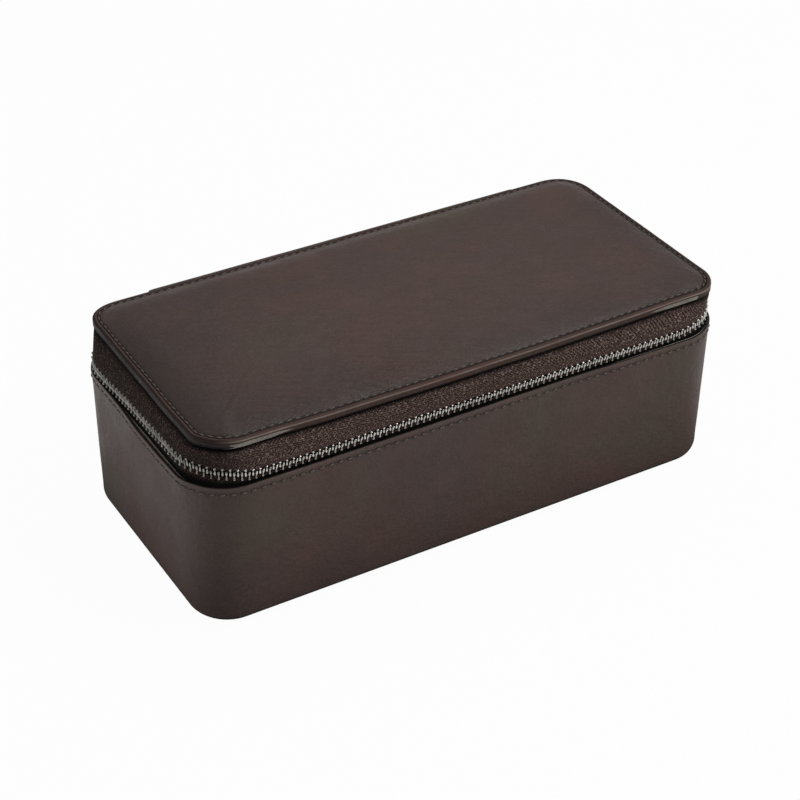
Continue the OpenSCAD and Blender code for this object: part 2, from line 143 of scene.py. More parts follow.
def shade(tree, colour, by):
    """A colour multiplied by a value."""
    grey = node(tree, "ShaderNodeCombineColor", {0: by, 1: by, 2: by}).outputs[0]
    return mix_colour(tree, 1.0, colour, grey, "MULTIPLY")


def bumps(tree, *layers):
    """A normal bent by layers, each a height and the distance in metres that it stands for."""
    inputs = {"Strength": 1.0}
    for height, distance in layers:
        inputs.update(Height=height, Distance=distance)
        inputs["Normal"] = node(tree, "ShaderNodeBump", inputs).outputs[0]
    return inputs["Normal"]


def attribute(tree, name):
    return node(tree, "ShaderNodeAttribute", attribute_name=name).outputs["Fac"]


def leather(name, value=1.0, wrinkle=1.0, rough=(0.42, 0.56), specular=0.36):
    """Smooth burnished brown leather: mottled, finely grained, with wear and painted highlights along its edges and
    painted shade from its dark attribute.
    """
    mat, tree = start_material(name)
    pos = coords(tree)
    brown, red, olive = (tuple(c*value for c in tone) for tone in (
        (0.068, 0.0405, 0.0335), (0.084, 0.043, 0.0355), (0.069, 0.0475, 0.031)))
    cloud = noise_fac(tree, pos, 21.0, 4.0, 0.6, 0.6)
    patch = noise_fac(tree, coords(tree, (1.1, 1.7, 1.3)), 13.0, 3.0, 0.5, 0.3)
    speckle = noise_fac(tree, pos, 900.0, 2.0)
    # Fine creases run slanting across the hide, stronger in patches
    crease = noise_fac(tree, coords(tree, (110, 420, 420), 28.0), 1.0, 5.0, 0.66, 1.2)
    where = remap(tree, noise_fac(tree, pos, 19.0, 2.0), 0.40, 0.62, 0.35, 1.0)
    pores = node(tree, "ShaderNodeTexVoronoi", {"Vector": pos, "Scale": 1250.0, "Randomness": 1.0},
                 feature="SMOOTH_F1").outputs["Distance"]
    colour = mix_colour(tree, remap(tree, cloud, 0.44, 0.68, 0, 1), brown, red)
    colour = mix_colour(tree, remap(tree, patch, 0.52, 0.70, 0, 0.9), colour, olive)
    colour = shade(tree, colour, remap(tree, speckle, 0.3, 0.7, 0.86, 1.12))
    # Wear and painted highlights lighten the colour, then painted shade darkens it
    colour = mix_colour(tree, attribute(tree, "wear"), colour, (0.30, 0.24, 0.21))
    colour = mix_colour(tree, attribute(tree, "dark"), colour, (0.004, 0.0025, 0.002))
    colour = shade(tree, colour, remap(tree, crease, 0.35, 0.65, 1 + 0.05*wrinkle, 1 - 0.05*wrinkle))
    return end_material(mat, tree, {
        "Base Color": colour,
        "Roughness": remap(tree, noise_fac(tree, pos, 60.0, 3.0, 0.6), 0.3, 0.7, *rough),
        "Normal": bumps(tree, (noise_fac(tree, pos, 95.0, 3.0, 0.6), 0.0010),
                        (math_node(tree, "MULTIPLY", crease, where), 0.00055*wrinkle),
                        (pores, 0.00010), (speckle, 0.00006)),
        "Specular IOR Level": specular})


def tape_cloth(name):
    """Herringbone zip tape. The U of its map runs along the tape and V across, in metres."""
    mat, tree = start_material(name)
    uv = node(tree, "ShaderNodeUVMap", uv_map="UVMap").outputs[0]
    split = node(tree, "ShaderNodeSeparateXYZ", {0: uv})
    across = math_node(tree, "MULTIPLY", split.outputs[1], 1000.0)
    along = math_node(tree, "MULTIPLY", split.outputs[0], 1000.0)
    # Slanting ribs turn back every few millimetres across the tape
    zig = math_node(tree, "MULTIPLY", math_node(tree, "PINGPONG", across, 4.2), 1.5)
    phase = math_node(tree, "MULTIPLY", math_node(tree, "ADD", along, zig), 2*math.pi/1.6)
    twill = math_node(tree, "SINE", phase)
    pick = math_node(tree, "SUBTRACT", math_node(tree, "MULTIPLY", across, 2.0), along)
    pick = math_node(tree, "SINE", math_node(tree, "MULTIPLY", pick, 2*math.pi/1.1))
    height = math_node(tree, "ADD", math_node(tree, "MULTIPLY", twill, 0.7), math_node(tree, "MULTIPLY", pick, 0.4))
    fleck = noise_fac(tree, coords(tree), 1450.0, 1.0)
    fuzz = noise_fac(tree, coords(tree), 2600.0, 2.0)
    tint = noise_fac(tree, coords(tree), 120.0, 2.0)
    colour = mix_colour(tree, remap(tree, height, -0.5, 0.9, 0, 1), (0.024, 0.0125, 0.011), (0.150, 0.094, 0.082))
    colour = mix_colour(tree, remap(tree, tint, 0.5, 0.7, 0, 0.25), colour, (0.090, 0.067, 0.042))
    colour = mix_colour(tree, remap(tree, fleck, 0.55, 0.66, 0, 0.85), colour, (0.34, 0.255, 0.225))
    return end_material(mat, tree, {
        # Painted shade from the dark attribute darkens the tape where it lies in shade
        "Base Color": mix_colour(tree, attribute(tree, "dark"), colour, (0.002, 0.0013, 0.001)),
        "Normal": bumps(tree, (height, 0.00022), (fuzz, 0.00010)),
        "Roughness": 0.9, "Specular IOR Level": 0.12})


def metal(name, light=(0.46, 0.435, 0.40), dark=(0.11, 0.10, 0.092), rough=(0.24, 0.42)):
    """Antique metal with random stains, brightened by painted highlights on its heads and darkened by painted shade
    on its hidden sides.
    """
    mat, tree = start_material(name)
    pos = coords(tree)
    stain = noise_fac(tree, pos, 420.0, 3.0, 0.6)
    scratch = noise_fac(tree, coords(tree, (1, 1, 9)), 700.0, 3.0, 0.7)
    colour = mix_colour(tree, remap(tree, stain, 0.35, 0.62, 0, 1), dark, light)
    # Painted highlights on the teeth's heads
    colour = mix_colour(tree, attribute(tree, "wear"), colour, (0.80, 0.77, 0.72))
    return end_material(mat, tree, {
        # Painted shade on the teeth's hidden sides
        "Base Color": mix_colour(tree, attribute(tree, "dark"), colour, (0.025, 0.022, 0.02)),
        "Roughness": remap(tree, noise_fac(tree, pos, 900.0, 2.0), 0.3, 0.7, *rough),
        "Normal": bumps(tree, (scratch, 0.00003)), "Metallic": 1.0})


def suede(name, tone=(0.215, 0.150, 0.100), pale=(0.30, 0.22, 0.155), scale=1.0):
    """Brushed microsuede: a fine nap that lies in soft lighter and darker patches."""
    mat, tree = start_material(name)
    pos = coords(tree)
    nap = noise_fac(tree, pos, 34.0*scale, 4.0, 0.6, 0.8)
    fibre = noise_fac(tree, pos, 3200.0, 2.0, 0.7)
    colour = mix_colour(tree, remap(tree, nap, 0.40, 0.64, 0, 1), tone, pale)
    colour = shade(tree, colour, remap(tree, fibre, 0.3, 0.7, 0.78, 1.18))
    return end_material(mat, tree, {
        # Painted shade from the dark attribute, in seam grooves and pinched creases
        "Base Color": mix_colour(tree, attribute(tree, "dark"), colour, (0.06, 0.04, 0.028)),
        "Normal": bumps(tree, (noise_fac(tree, pos, 180.0, 3.0), 0.00025), (fibre, 0.00012)),
        "Roughness": 0.95, "Specular IOR Level": 0.2,
        "Sheen Weight": 0.35, "Sheen Roughness": 0.45, "Sheen Tint": (0.95, 0.80, 0.66, 1)})


def thread(name, colour_a, colour_b):
    """Waxed sewing thread, twisted from plies."""
    mat, tree = start_material(name)
    ply = node(tree, "ShaderNodeTexWave", {
        "Vector": coords(tree), "Scale": 620.0, "Distortion": 1.0, "Detail": 1.0},
        bands_direction="DIAGONAL").outputs["Fac"]
    return end_material(mat, tree, {
        "Base Color": mix_colour(tree, ply, colour_a, colour_b),
        "Normal": bumps(tree, (ply, 0.00008)), "Roughness": 0.5})


def board(name, a, b, fibre_scale):
    """Fibreboard: short fibres pressed flat."""
    mat, tree = start_material(name)
    fibres = noise_fac(tree, coords(tree, (1, 1, 3)), fibre_scale, 5.0, 0.7, 1.5)
    return end_material(mat, tree, {
        "Base Color": mix_colour(tree, remap(tree, fibres, 0.35, 0.65, 0, 1), a, b),
        "Normal": bumps(tree, (fibres, 0.00015)), "Roughness": 0.9})


LEATHER_BODY = leather("leather_body", 0.98, 0.5)
LEATHER_LID = leather("leather_lid", 0.96, 1.3)
LEATHER_EDGE = leather("leather_edge", 0.95, 0.2, (0.45, 0.60), 0.12)
LEATHER_DARK = leather("leather_spine", 0.85, 0.6)
TAPE = tape_cloth("tape_herringbone")
TEETH_METAL = metal("zip_metal")
SLIDER_METAL = metal("slider_metal", rough=(0.2, 0.34))
SUEDE = suede("suede_lining")
SUEDE_SOFT = suede("suede_pillow", (0.235, 0.168, 0.115), (0.33, 0.245, 0.175), 1.4)
THREAD = thread("thread_brown", (0.070, 0.047, 0.039), (0.155, 0.117, 0.10))
THREAD_TAN = thread("thread_tan", (0.16, 0.11, 0.075), (0.27, 0.19, 0.13))
# Near-black discs at the ends of stitches: painted shade standing in for the holes
STITCH_HOLE_SHADE = thread("stitch_hole_shade", (0.006, 0.005, 0.004), (0.012, 0.009, 0.008))
BOARD = board("fibreboard", (0.15, 0.135, 0.115), (0.30, 0.27, 0.235), 260.0)

# Outlines


def seg_lengths(o):
    cx, cy, quarter = o[0] - o[2], o[1] - o[2], math.pi*o[2]/2
    return [cx, quarter, 2*cy, quarter, 2*cx, quarter, 2*cy, quarter, cx]


def place(o, seg, f):
    """A point on an outline walked clockwise from the middle of the back, and its outward angle."""
    cx, cy = o[0] - o[2], o[1] - o[2]
    if seg % 2:
        k = seg//2
        x, y = ((cx, cy), (cx, -cy), (-cx, -cy), (-cx, cy))[k]
        a = math.radians(90 - 90*(k + f))
        return x + o[2]*math.cos(a), y + o[2]*math.sin(a), a
    a = math.radians(90 - 45*seg)
    if seg == 0:
        return f*cx, o[1], a
    if seg == 8:
        return (f - 1)*cx, o[1], a
    if seg == 2:
        return o[0], cy*(1 - 2*f), a
    if seg == 4:
        return cx*(1 - 2*f), -o[1], a
    return -o[0], cy*(2*f - 1), a


def stations(o, step, corner_step):
    out = []
    for seg, length in enumerate(seg_lengths(o)):
        n = max(1, round(length/(corner_step if seg % 2 else step)))
        out += [(seg, i/n) for i in range(n)]
    return out


def arc_at(o, seg, f):
    lengths = seg_lengths(o)
    return sum(lengths[:seg]) + f*lengths[seg]


def station_at(o, s):
    """The station at the length s along an outline."""
    for seg, length in enumerate(seg_lengths(o)):
        if s <= length or seg == 8:
            return seg, s/length
        s -= length


def perimeter(o):
    return sum(seg_lengths(o))


def grow(o, by):
    return (o[0] + by, o[1] + by, max(o[2] + by, 2.5))


def mix(a, b, f):
    return a + (b - a)*f


def wall_outline(z, inset):
    f = z/BASE_H
    return tuple(mix(BOTTOM[i], RIM[i], f) - inset for i in range(3))


def smooth(t):
    t = min(max(t, 0.0), 1.0)
    return t*t*(3 - 2*t)


def bell(value, middle, width):
    """1 at the middle, falling off on both sides."""
    return math.exp(-((value - middle)/width)**2)


def wave(x, y, z, scale, seed=0.0):
    """Smooth noise of about +-1 at a point in millimetres, with features of about scale."""
    return noise.noise(Vector((x/scale + seed, y/scale - seed, z/scale + 0.5*seed)))


# Meshes


def make(name, points, faces, material, uvs=None, wear=None, dark=None, flat=False, weld=0.0):
    """A mesh object from points in millimetres. Points nearer than weld become one."""
    mesh = bpy.data.meshes.new(name)
    mesh.from_pydata([tuple(c*MM for c in p) for p in points], [], faces)
    if uvs is not None:
        layer = mesh.uv_layers.new(name="UVMap")
        layer.data.foreach_set("uv", [c*MM for face in uvs for uv in face for c in uv])
    # The first attribute lightens the colour with wear and painted highlights, the second darkens it with painted
    # shade
    for label, values in (("wear", wear), ("dark", dark)):
        data = mesh.attributes.new(label, "FLOAT", "POINT").data
        data.foreach_set("value", values if values is not None else [0.0]*len(points))
    mesh.polygons.foreach_set("use_smooth", [not flat]*len(mesh.polygons))
    mesh.materials.append(material)
    mesh.validate()
    shell = bmesh.new()
    shell.from_mesh(mesh)
    if weld:
        bmesh.ops.remove_doubles(shell, verts=shell.verts, dist=weld*MM)
    bmesh.ops.recalc_face_normals(shell, faces=shell.faces)
    shell.to_mesh(mesh)
    shell.free()
    mesh.update()
    obj = bpy.data.objects.new(name, mesh)
    bpy.context.scene.collection.objects.link(obj)
    return obj


def finish_piece(obj, body, slot, *nodes):
    if nodes:
        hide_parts(*nodes)
    if body:
        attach(obj, body)
    return obj


def loft(path, rows, shift=None, closed=True, wrap=False, caps=False, reference=None):
    """Points, faces and map of a surface swept round an outline. Each row is (outline, height).
    shift(t, row, x, y, z, s) moves a point outwards and up by what it returns."""
    reference = reference or rows[0][0]
    n, m = len(path), len(rows)
    points = []
    for seg, f in path:
        s = arc_at(reference, seg, f)
        for j, (o, z) in enumerate(rows):
            x, y, a = place(o, seg, f)
            if shift:
                out, up = shift(seg + f, j, x, y, z, s)
                x, y, z = x + out*math.cos(a), y + out*math.sin(a), z + up
            points.append((x, y, z))
    v = [0.0]
    for j in range(1, m + 1):
        a, b = rows[j - 1], rows[j % m]
        v.append(v[-1] + math.hypot(a[0][0] - b[0][0], a[1] - b[1]))
    u = [arc_at(reference, *p) for p in path] + [perimeter(reference)]
    faces, uvs = [], []
    for i in range(n if closed else n - 1):
        i2 = (i + 1) % n
        for j in range(m if wrap else m - 1):
            j2 = (j + 1) % m
            faces.append((i*m + j, i2*m + j, i2*m + j2, i*m + j2))
            uvs.append(((u[i], v[j]), (u[i + 1], v[j]), (u[i + 1], v[j + 1]), (u[i], v[j + 1])))
    if caps:
        faces += [tuple(range(m)), tuple((n - 1)*m + j for j in range(m - 1, -1, -1))]
        uvs += [tuple((0.0, v[j]) for j in range(m)), tuple((0.0, v[j]) for j in range(m - 1, -1, -1))]
    return points, faces, uvs


def close_ends(points, faces, uvs, m):
    """Adds the two flat faces that close a loft of m rows at its last row and its first."""
    n = len(points)//m
    faces += [tuple(i*m + m - 1 for i in range(n - 1, -1, -1)), tuple(i*m for i in range(n))]
    uvs += [((0.0, 0.0),)*n]*2


def paint(points, rows, rule):
    """Wear and painted highlights, and painted shade, of a loft's points: rule(row, x, y, z) gives both for a point.
    """
    both = [rule(rows[i % len(rows)], *p) for i, p in enumerate(points)]
    return [wear for wear, _ in both], [dark for _, dark in both]


def rounded(c, r, a, b, steps):
    """Points of a quarter turn in a cross-section."""
    out = []
    for i in range(steps + 1):
        t = math.radians(mix(a, b, i/steps))
        out.append((c[0] + r*math.cos(t), c[1] + r*math.sin(t)))
    return out


def section_rows(outline, section):
    """Rows of a sweep whose cross-section is given as (outwards, height)."""
    return [(grow(outline, p[0]), p[1]) for p in section]


# The photographed case isn't quite true. Each table says how far a part of it strays, in
# millimetres, at places round the case: the number of the outline's segment plus the share
# of that segment, from the middle of the back round by the right side
CHAIN_RISE = ((3.0, 0), (3.3, 0.6), (3.74, -0.2), (4.05, -1.6), (4.3, -1.45), (4.5, -1.15), (4.65, -1.1),
              (4.9, -1.5), (5.0, -1.1), (5.37, 0.3), (5.77, 1.7), (6.11, 1.6), (6.34, 0.7), (6.55, 0.3),
              (6.77, -0.8), (7.0, -1.0), (8.0, 0))
CHAIN_OUT = ((3.0, 0), (3.3, 1.2), (3.6, 1.1), (4.0, 0), (6.7, 0), (7.0, 0.8), (7.3, 1.5), (8.0, 0))
LID_OUT = ((0, 0), (1.0, 0.3), (1.5, 1.2), (2.0, 0.9), (3.0, 0.9), (3.5, 0.3), (4.0, -1.2), (4.2, -0.7), (4.4, 0),
           (4.6, 0), (4.8, -0.55), (5.0, -1.3), (5.5, -0.7), (6.0, 0.2), (6.25, 0.3), (6.5, -0.1), (7.0, -0.6),
           (7.5, 1.0), (8.0, 0))
LID_RISE = ((3.0, 0.2), (3.5, 0.4), (4.0, 0.5), (4.25, 0), (4.8, 0), (4.95, 0.5), (5.3, 1.0), (5.6, 0.9), (6.0, 0.2),
            (6.2, 0))
RIM_OUT = ((5.6, 0), (6.0, 0.4), (6.2, 0.6), (6.4, 0.6), (6.75, 0))
RIM_RISE = ((3.4, 0), (4.0, -0.8), (4.15, -0.6), (4.3, 0), (4.45, 0), (4.5, -0.2), (4.85, -0.2), (4.95, 0), (5.6, 0),
            (6.0, -0.4), (6.2, -0.7), (6.4, -0.7), (6.75, 0))
TOOTH_TALL = ((3.0, 1.0), (3.3, 1.2), (3.5, 1.2), (4.1, 1.0), (4.92, 1.0), (5.2, 1.28), (5.8, 1.3), (6.2, 1.22))
UPPER_LEAN = ((4.0, 0), (4.08, -0.25), (4.3, -0.22), (4.5, 0), (5.5, 0), (5.9, 0.25), (7.0, 0.25))
# TOOTH_SHINE is a factor, not a distance: it weakens the teeth's painted highlights along the left side and darkens
# them there with painted shade
TOOTH_SHINE = ((5.0, 1.0), (5.5, 0.45), (6.0, 0.3))
LOWER_LEAN = ((4.0, 0), (4.08, -0.3), (4.9, -0.3), (5.2, 0), (5.5, 0), (5.9, 0.28), (7.0, 0.28))


def stray(table, t):
    """The value of a table at a place, with soft steps between its entries."""
    if t <= table[0][0]:
        return table[0][1]
    for (t0, v0), (t1, v1) in zip(table, table[1:]):
        if t <= t1:
            return mix(v0, v1, smooth((t - t0)/(t1 - t0)))
    return table[-1][1]


class Batch:
    """Many small pieces gathered in one mesh."""

    def __init__(self):
        self.points, self.faces, self.wear, self.dark, self.slots = [], [], [], [], []

    def add(self, points, faces, wear=None, dark=None, slot=0):
        first = len(self.points)
        self.points += [tuple(p) for p in points]
        self.faces += [tuple(first + i for i in face) for face in faces]
        self.wear += list(wear) if wear is not None else [0.0]*len(points)
        self.dark += list(dark) if dark is not None else [0.0]*len(points)
        self.slots += [slot]*len(faces)

    def build(self, name, materials, flat=False):
        obj = make(name, self.points, self.faces, materials[0], wear=self.wear, dark=self.dark, flat=flat)
        for material in materials[1:]:
            obj.data.materials.append(material)
        obj.data.polygons.foreach_set("material_index", self.slots)
        return obj


def tube_faces(rings, sides, caps=True):
    faces = []
    for i in range(rings - 1):
        for j in range(sides):
            k = (j + 1) % sides
            faces.append((i*sides + j, i*sides + k, (i + 1)*sides + k, (i + 1)*sides + j))
    if caps:
        faces.append(tuple(range(sides - 1, -1, -1)))
        faces.append(tuple((rings - 1)*sides + j for j in range(sides)))
    return faces


def add_stitch(batch, p, t, n, length, radius, lift, skew=0.10):
    """A stitch along t on a surface with the normal n, and near-black discs of painted shade for the holes that its
    ends go into.
    """
    side = n.cross(t).normalized()
    t = (t + side*skew).normalized()
    side = n.cross(t).normalized()
    rings, sides = 9, 8
    points = []
    for i in range(rings):
        q = 2*i/(rings - 1) - 1
        height = lift*(1 - abs(q)**3.2) - 0.55*radius*abs(q)**6 - radius*0.35
        r = radius*(1 - 0.35*abs(q)**5)
        c = p + t*(q*length/2) + n*height
        for j in range(sides):
            a = 2*math.pi*j/sides
            points.append(c + side*(r*1.15*math.cos(a)) + n*(r*0.9*math.sin(a)))
    batch.add(points, tube_faces(rings, sides), slot=0)
    # The holes are near-black discs of painted shade
    for end in (-1, 1):
        c = p + t*(end*(length/2 + radius*0.75)) + n*0.05
        ring = [c + t*(radius*1.35*math.cos(a)) + side*(radius*1.45*math.sin(a))
                for a in (2*math.pi*j/10 for j in range(10))]
        batch.add(ring + [c - n*0.12], [(j, (j + 1) % 10, 10) for j in range(10)], slot=1)


def outline_stitches(name, outline, z, pitch, body, slot, normal_up, first=0.0, last=None, out=0.0, lift=0.16,
                     strays=None, length=0.70, radius=0.24, materials=None):
    """A row of stitches along an outline. strays are the tables it follows outwards and up."""
    batch = Batch()
    last = perimeter(outline) if last is None else last
    count = int((last - first)//pitch)
    step = (last - first)/count
    for i in range(count):
        seg, f = station_at(outline, first + (i + 0.5)*step)
        x, y, a = place(outline, seg, f)
        more, up = (stray(table, seg + f) for table in strays) if strays else (0.0, 0.0)
        x, y = x + (out + more)*math.cos(a), y + (out + more)*math.sin(a)
        n = Vector((math.cos(a)*(1 - normal_up), math.sin(a)*(1 - normal_up), normal_up)).normalized()
        t = Vector((math.sin(a), -math.cos(a), 0))
        add_stitch(batch, Vector((x, y, z + up)), t, n, step*length, radius, lift)
    obj = batch.build(name, materials or [THREAD, STITCH_HOLE_SHADE])
    return finish_piece(obj, body, slot)


# Base

STITCH_Z = 66.9
FOLD_R = 7.5
TURN_IN = 16.0
TURN_Z = 0.9
RIM_R = 0.35
BOTTOM_IN = 8.0
BOTTOM_T = 0.88


def make_base_shell():
    """The leather skin: folded round the bottom edge, with a stitched groove under the rim."""
    rows = [(inset, TURN_Z) for inset in (TURN_IN, 12.0, 9.0)]
    rows += [(FOLD_R + x, y) for x, y in rounded((0, TURN_Z + FOLD_R), FOLD_R, 270, 180, 11)]
    z = TURN_Z + FOLD_R + 2.6
    while z < 64.5:
        rows.append((0, z))
        z += 3.0
    rows += [(0, h) for h in (64.8, 65.6, 66.1, 66.5, 66.9, 67.3, 67.7, 68.2, 68.8, 69.2)]
    rows += [(RIM_R + x, y) for x, y in rounded((0, BASE_H - RIM_R), RIM_R, 180, 90, 4)]
    rows += [(LEATHER - RIM_R + x, y) for x, y in rounded((0, BASE_H - RIM_R), RIM_R, 90, 0, 3)]
    rows += [(LEATHER, h) for h in (67.0, 60.0, 40.0, 20.0, 11.0)]
    rows += [(FOLD_R + x, y) for x, y in rounded((0, TURN_Z + FOLD_R), FOLD_R - LEATHER, 180, 270, 6)]
    rows += [(TURN_IN, TURN_Z + LEATHER)]
    loft_rows = [(wall_outline(z, inset), z) for inset, z in rows]
    path = stations(RIM, 1.6, 1.1)

    def shift(t, j, x, y, z, s):
        inset, height = rows[j]
        rising = smooth((height - 55)/14)
        off, up = rising*stray(RIM_OUT, t), rising*stray(RIM_RISE, t)
        if inset > 0.9 and height < 69:
            return off, up
        body = smooth((height - 3)/8)*smooth((69 - height)/5)
        soft = 0.22*wave(x, y, z, 55, 3.1) + 0.07*wave(x, y, z, 17, 8.2)
        panel = 0.35*math.sin(math.pi*min(max((height - 4)/66, 0), 1))
        groove = bell(height, STITCH_Z, 0.8)*0.16
        pull = bell(height, STITCH_Z, 1.8)*0.08*math.cos(2*math.pi*s/STITCH_PITCH)
        rim = 0.10*wave(x, y, z, 24, 5.5)*smooth((height - 66)/3)
        return off + body*(soft + panel*(0.4 if int(t) % 2 == 0 else 0.0) - 0.25) - groove - pull + rim*0.5, up + rim

    def look(row, x, y, z):
        inset, height = row
        outside = inset < 0.9
        patchy = 0.5 + 0.5*wave(x, y, z, 9, 1.0)
        # Wear and painted highlights on the rim's crest and on the bottom fold, and a slightly lighter strip between
        # the stitches and the rim
        crest = bell(height, 69.3, 0.35)*(inset < 0.3)
        foot = bell(height, 6.2, 0.9)*(inset < 1)
        strip = smooth((height - STITCH_Z - 0.3)/0.5)*outside
        wear = 0.10*crest*(0.6 + 0.7*patchy) + 0.10*foot*patchy + 0.02*strip
        # Painted shade: the inside faces, the rim's inner top where the tape tucks in, the underside of the fold and
        # the front left corner
        inside = smooth((inset - 0.9)/0.3)*(height > 5)
        edge = smooth((height - 69.2)/0.5)*outside*smooth((inset - 0.1)/0.2)
        below = smooth((5.0 - height)/0.9)
        corner = x < -100 and y < -35
        corner_shade = math.exp(-((math.degrees(math.atan2(y + 38, x + 104)) + 135)/40)**2) if corner else 0
        return wear, min(1.0, 0.9*inside + 0.85*edge + 0.8*below + 0.22*corner_shade)

    points, faces, uvs = loft(path, loft_rows, shift, wrap=True, reference=RIM)
    obj = make("base_leather_shell", points, faces, LEATHER_BODY, uvs, *paint(points, rows, look))
    finish_piece(obj, "base", "leather", "base_leather")
    outline_stitches("base_rim_stitches", wall_outline(STITCH_Z, 0.0), STITCH_Z, STITCH_PITCH, "base", "leather", 0.0,
                     out=-0.08, first=4.0, last=perimeter(RIM) - 4.0, length=0.50, radius=0.32, lift=0.20,
                     strays=(RIM_OUT, RIM_RISE))


def make_board_tub():
    """The stiff board inside the leather, rounded below like the fold round it."""
    low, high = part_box("base_board")
    z_low, z_top = low.z/MM, high.z/MM
    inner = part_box("insert_floor")[0].z/MM - 0.02
    skin, wall = LEATHER + 0.05, 2.0
    r = FOLD_R - skin
    centre = (BOTTOM[0] - BOTTOM[1], 0.0, 0.0)
    rows = [(centre, z_low), (grow(BOTTOM, -30.0), z_low)]
    rows += [(wall_outline(y, skin + r + x), y) for x, y in rounded((0, z_low + r), r, 270, 180, 6)]
    rows += [(wall_outline(z, skin), z) for z in (30.0, 50.0, z_top)]
    rows += [(wall_outline(z, skin + wall), z) for z in (z_top, 50.0, 30.0, inner + 3.0)]
    rows += [(grow(BOTTOM, -skin - wall - 3.0), inner), (grow(BOTTOM, -30.0), inner), (centre, inner)]
    points, faces, uvs = loft(stations(RIM, 4.0, 2.0), rows, reference=RIM)
    obj = make("base_board_tub", points, faces, BOARD, weld=0.02)
    finish_piece(obj, "base", "board", "base_board")


def make_bottom():
    """The bottom panel, sewn on inside the fold."""
    edge = grow(BOTTOM, -BOTTOM_IN)
    centre = (BOTTOM[0] - BOTTOM[1], 0.0, 0.0)
    rows = [(centre, 0.0), (grow(edge, -30.0), 0.0), (grow(edge, -0.35), 0.0), (grow(edge, -0.1), 0.1), (edge, 0.35),
            (edge, BOTTOM_T), (grow(edge, -30.0), BOTTOM_T), (centre, BOTTOM_T)]
    points, faces, uvs = loft(stations(edge, 3.0, 1.2), rows, reference=edge)
    obj = make("base_bottom_panel", points, faces, LEATHER_DARK, weld=0.02)
    finish_piece(obj, "base", "leather", "base_bottom_leather")
    inner = grow(edge, -3.0)
    batch = Batch()
    total = perimeter(inner)
    count = int(total//STITCH_PITCH)
    for i in range(count):
        seg, f = station_at(inner, (i + 0.5)*total/count)
        x, y, a = place(inner, seg, f)
        t = Vector((math.sin(a), -math.cos(a), 0))
        add_stitch(batch, Vector((x, y, 0.12)), t, Vector((0, 0, -1)), 2.9, 0.24, 0.10)
    finish_piece(batch.build("bottom_stitches", [THREAD, STITCH_HOLE_SHADE]), "base", "leather")


# Lid

SEAM = grow(LID, -SEAM_IN)
PAD_REACH = 13.0


def inside_distance(x, y, o):
    """How far a point lies inside a rounded rectangle."""
    qx, qy = abs(x) - (o[0] - o[2]), abs(y) - (o[1] - o[2])
    return o[2] - math.hypot(max(qx, 0), max(qy, 0)) - min(max(qx, qy), 0)


def pad_height(x, y):
    """Height of the padded top above the bound edge."""
    d = inside_distance(x, y, SEAM)
    t = min(max(d, 0.0)/PAD_REACH, 1.0)
    shoulder = 0.78*(1 - (1 - t)**2.3)
    crown = 0.22*(max(0.0, 1 - (x/SEAM[0])**2)*max(0.0, 1 - (y/SEAM[1])**2))**0.6
    h = CROWN*(shoulder + crown*smooth(d/20))
    soft = smooth(d/9)*(0.20*wave(x, y, 0, 42, 2.3) + 0.09*wave(x, y, 0, 15, 6.1))
    return h + soft


def make_lid_top():
    """The padded leather top, sewn down in a groove and rising to a low crown."""
    insets = [0.0, 0.25, 0.55, 0.9, 1.3, 1.8, 2.4, 3.1, 4.0, 5.0, 6.2, 7.6, 9.2, 11.0, 13.0, 15.5, 18.0, 21.0,
              24.0, 27.0, 30.0, 33.0, 36.0, 39.0, 42.0, 45.0, 48.0, 51.0]
    rows = [(grow(SEAM, -i), EDGE_TOP) for i in insets]
    rows = [(grow(SEAM, 0.0), EDGE_TOP - 1.15), (grow(SEAM, 0.0), EDGE_TOP - 0.6)] + rows
    path = stations(SEAM, 1.9, 0.8)
    rows.append(((SEAM[0] - SEAM[1], 0.0, 0.0), EDGE_TOP))
    insets.append(SEAM[1])

    def shift(t, j, x, y, z, s):
        if j < 2:
            return stray(LID_OUT, t), stray(LID_RISE, t)
        d = insets[j - 2]
        pucker = 0.09*math.cos(2*math.pi*s/LID_PITCH)*math.exp(-d/2.0)*smooth(d/0.8)
        fold = 0.10*wave(x, y, 0, 6.5, 4.0)*smooth(d/2.5)*math.exp(-max(d - 5, 0)/5)
        fade = math.exp(-d/16)
        rise = pad_height(x, y) - 0.42*math.exp(-d/0.45) + pucker + fold
        return fade*stray(LID_OUT, t), fade*stray(LID_RISE, t) + rise

    def look(d, x, y, z):
        patchy = 0.4 + 0.8*abs(wave(x, y, 0, 8, 9.0))
        # Painted highlight along the pad's edge by the seam, and a painted sheen on the rear shoulder
        band = smooth((y - 38)/8)*bell(d, 4.5, 2.6)
        wear = (0.05*bell(d, 1.6, 1.2) + 0.12*band)*patchy
        # Painted shade: darker towards the pad's edges and its left end, and in the seam
        border = 0.42*math.exp(-d/15)*(1 - 0.7*smooth((y - 20)/25))
        return wear, border + 0.17*smooth((-x - 30)/80) + 0.5*math.exp(-d/0.3)

    points, faces, uvs = loft(path, rows, shift, reference=SEAM)
    faces.append(tuple(i*len(rows) for i in range(len(path))))
    uvs.append(((0.0, 0.0),)*len(path))
    wear, dark = paint(points, [0.0, 0.0] + insets, look)
    obj = make("lid_padded_top", points, faces, LEATHER_LID, uvs, wear, dark, weld=0.02)
    finish_piece(obj, "lid", "leather", "lid_leather", "lid_foam")


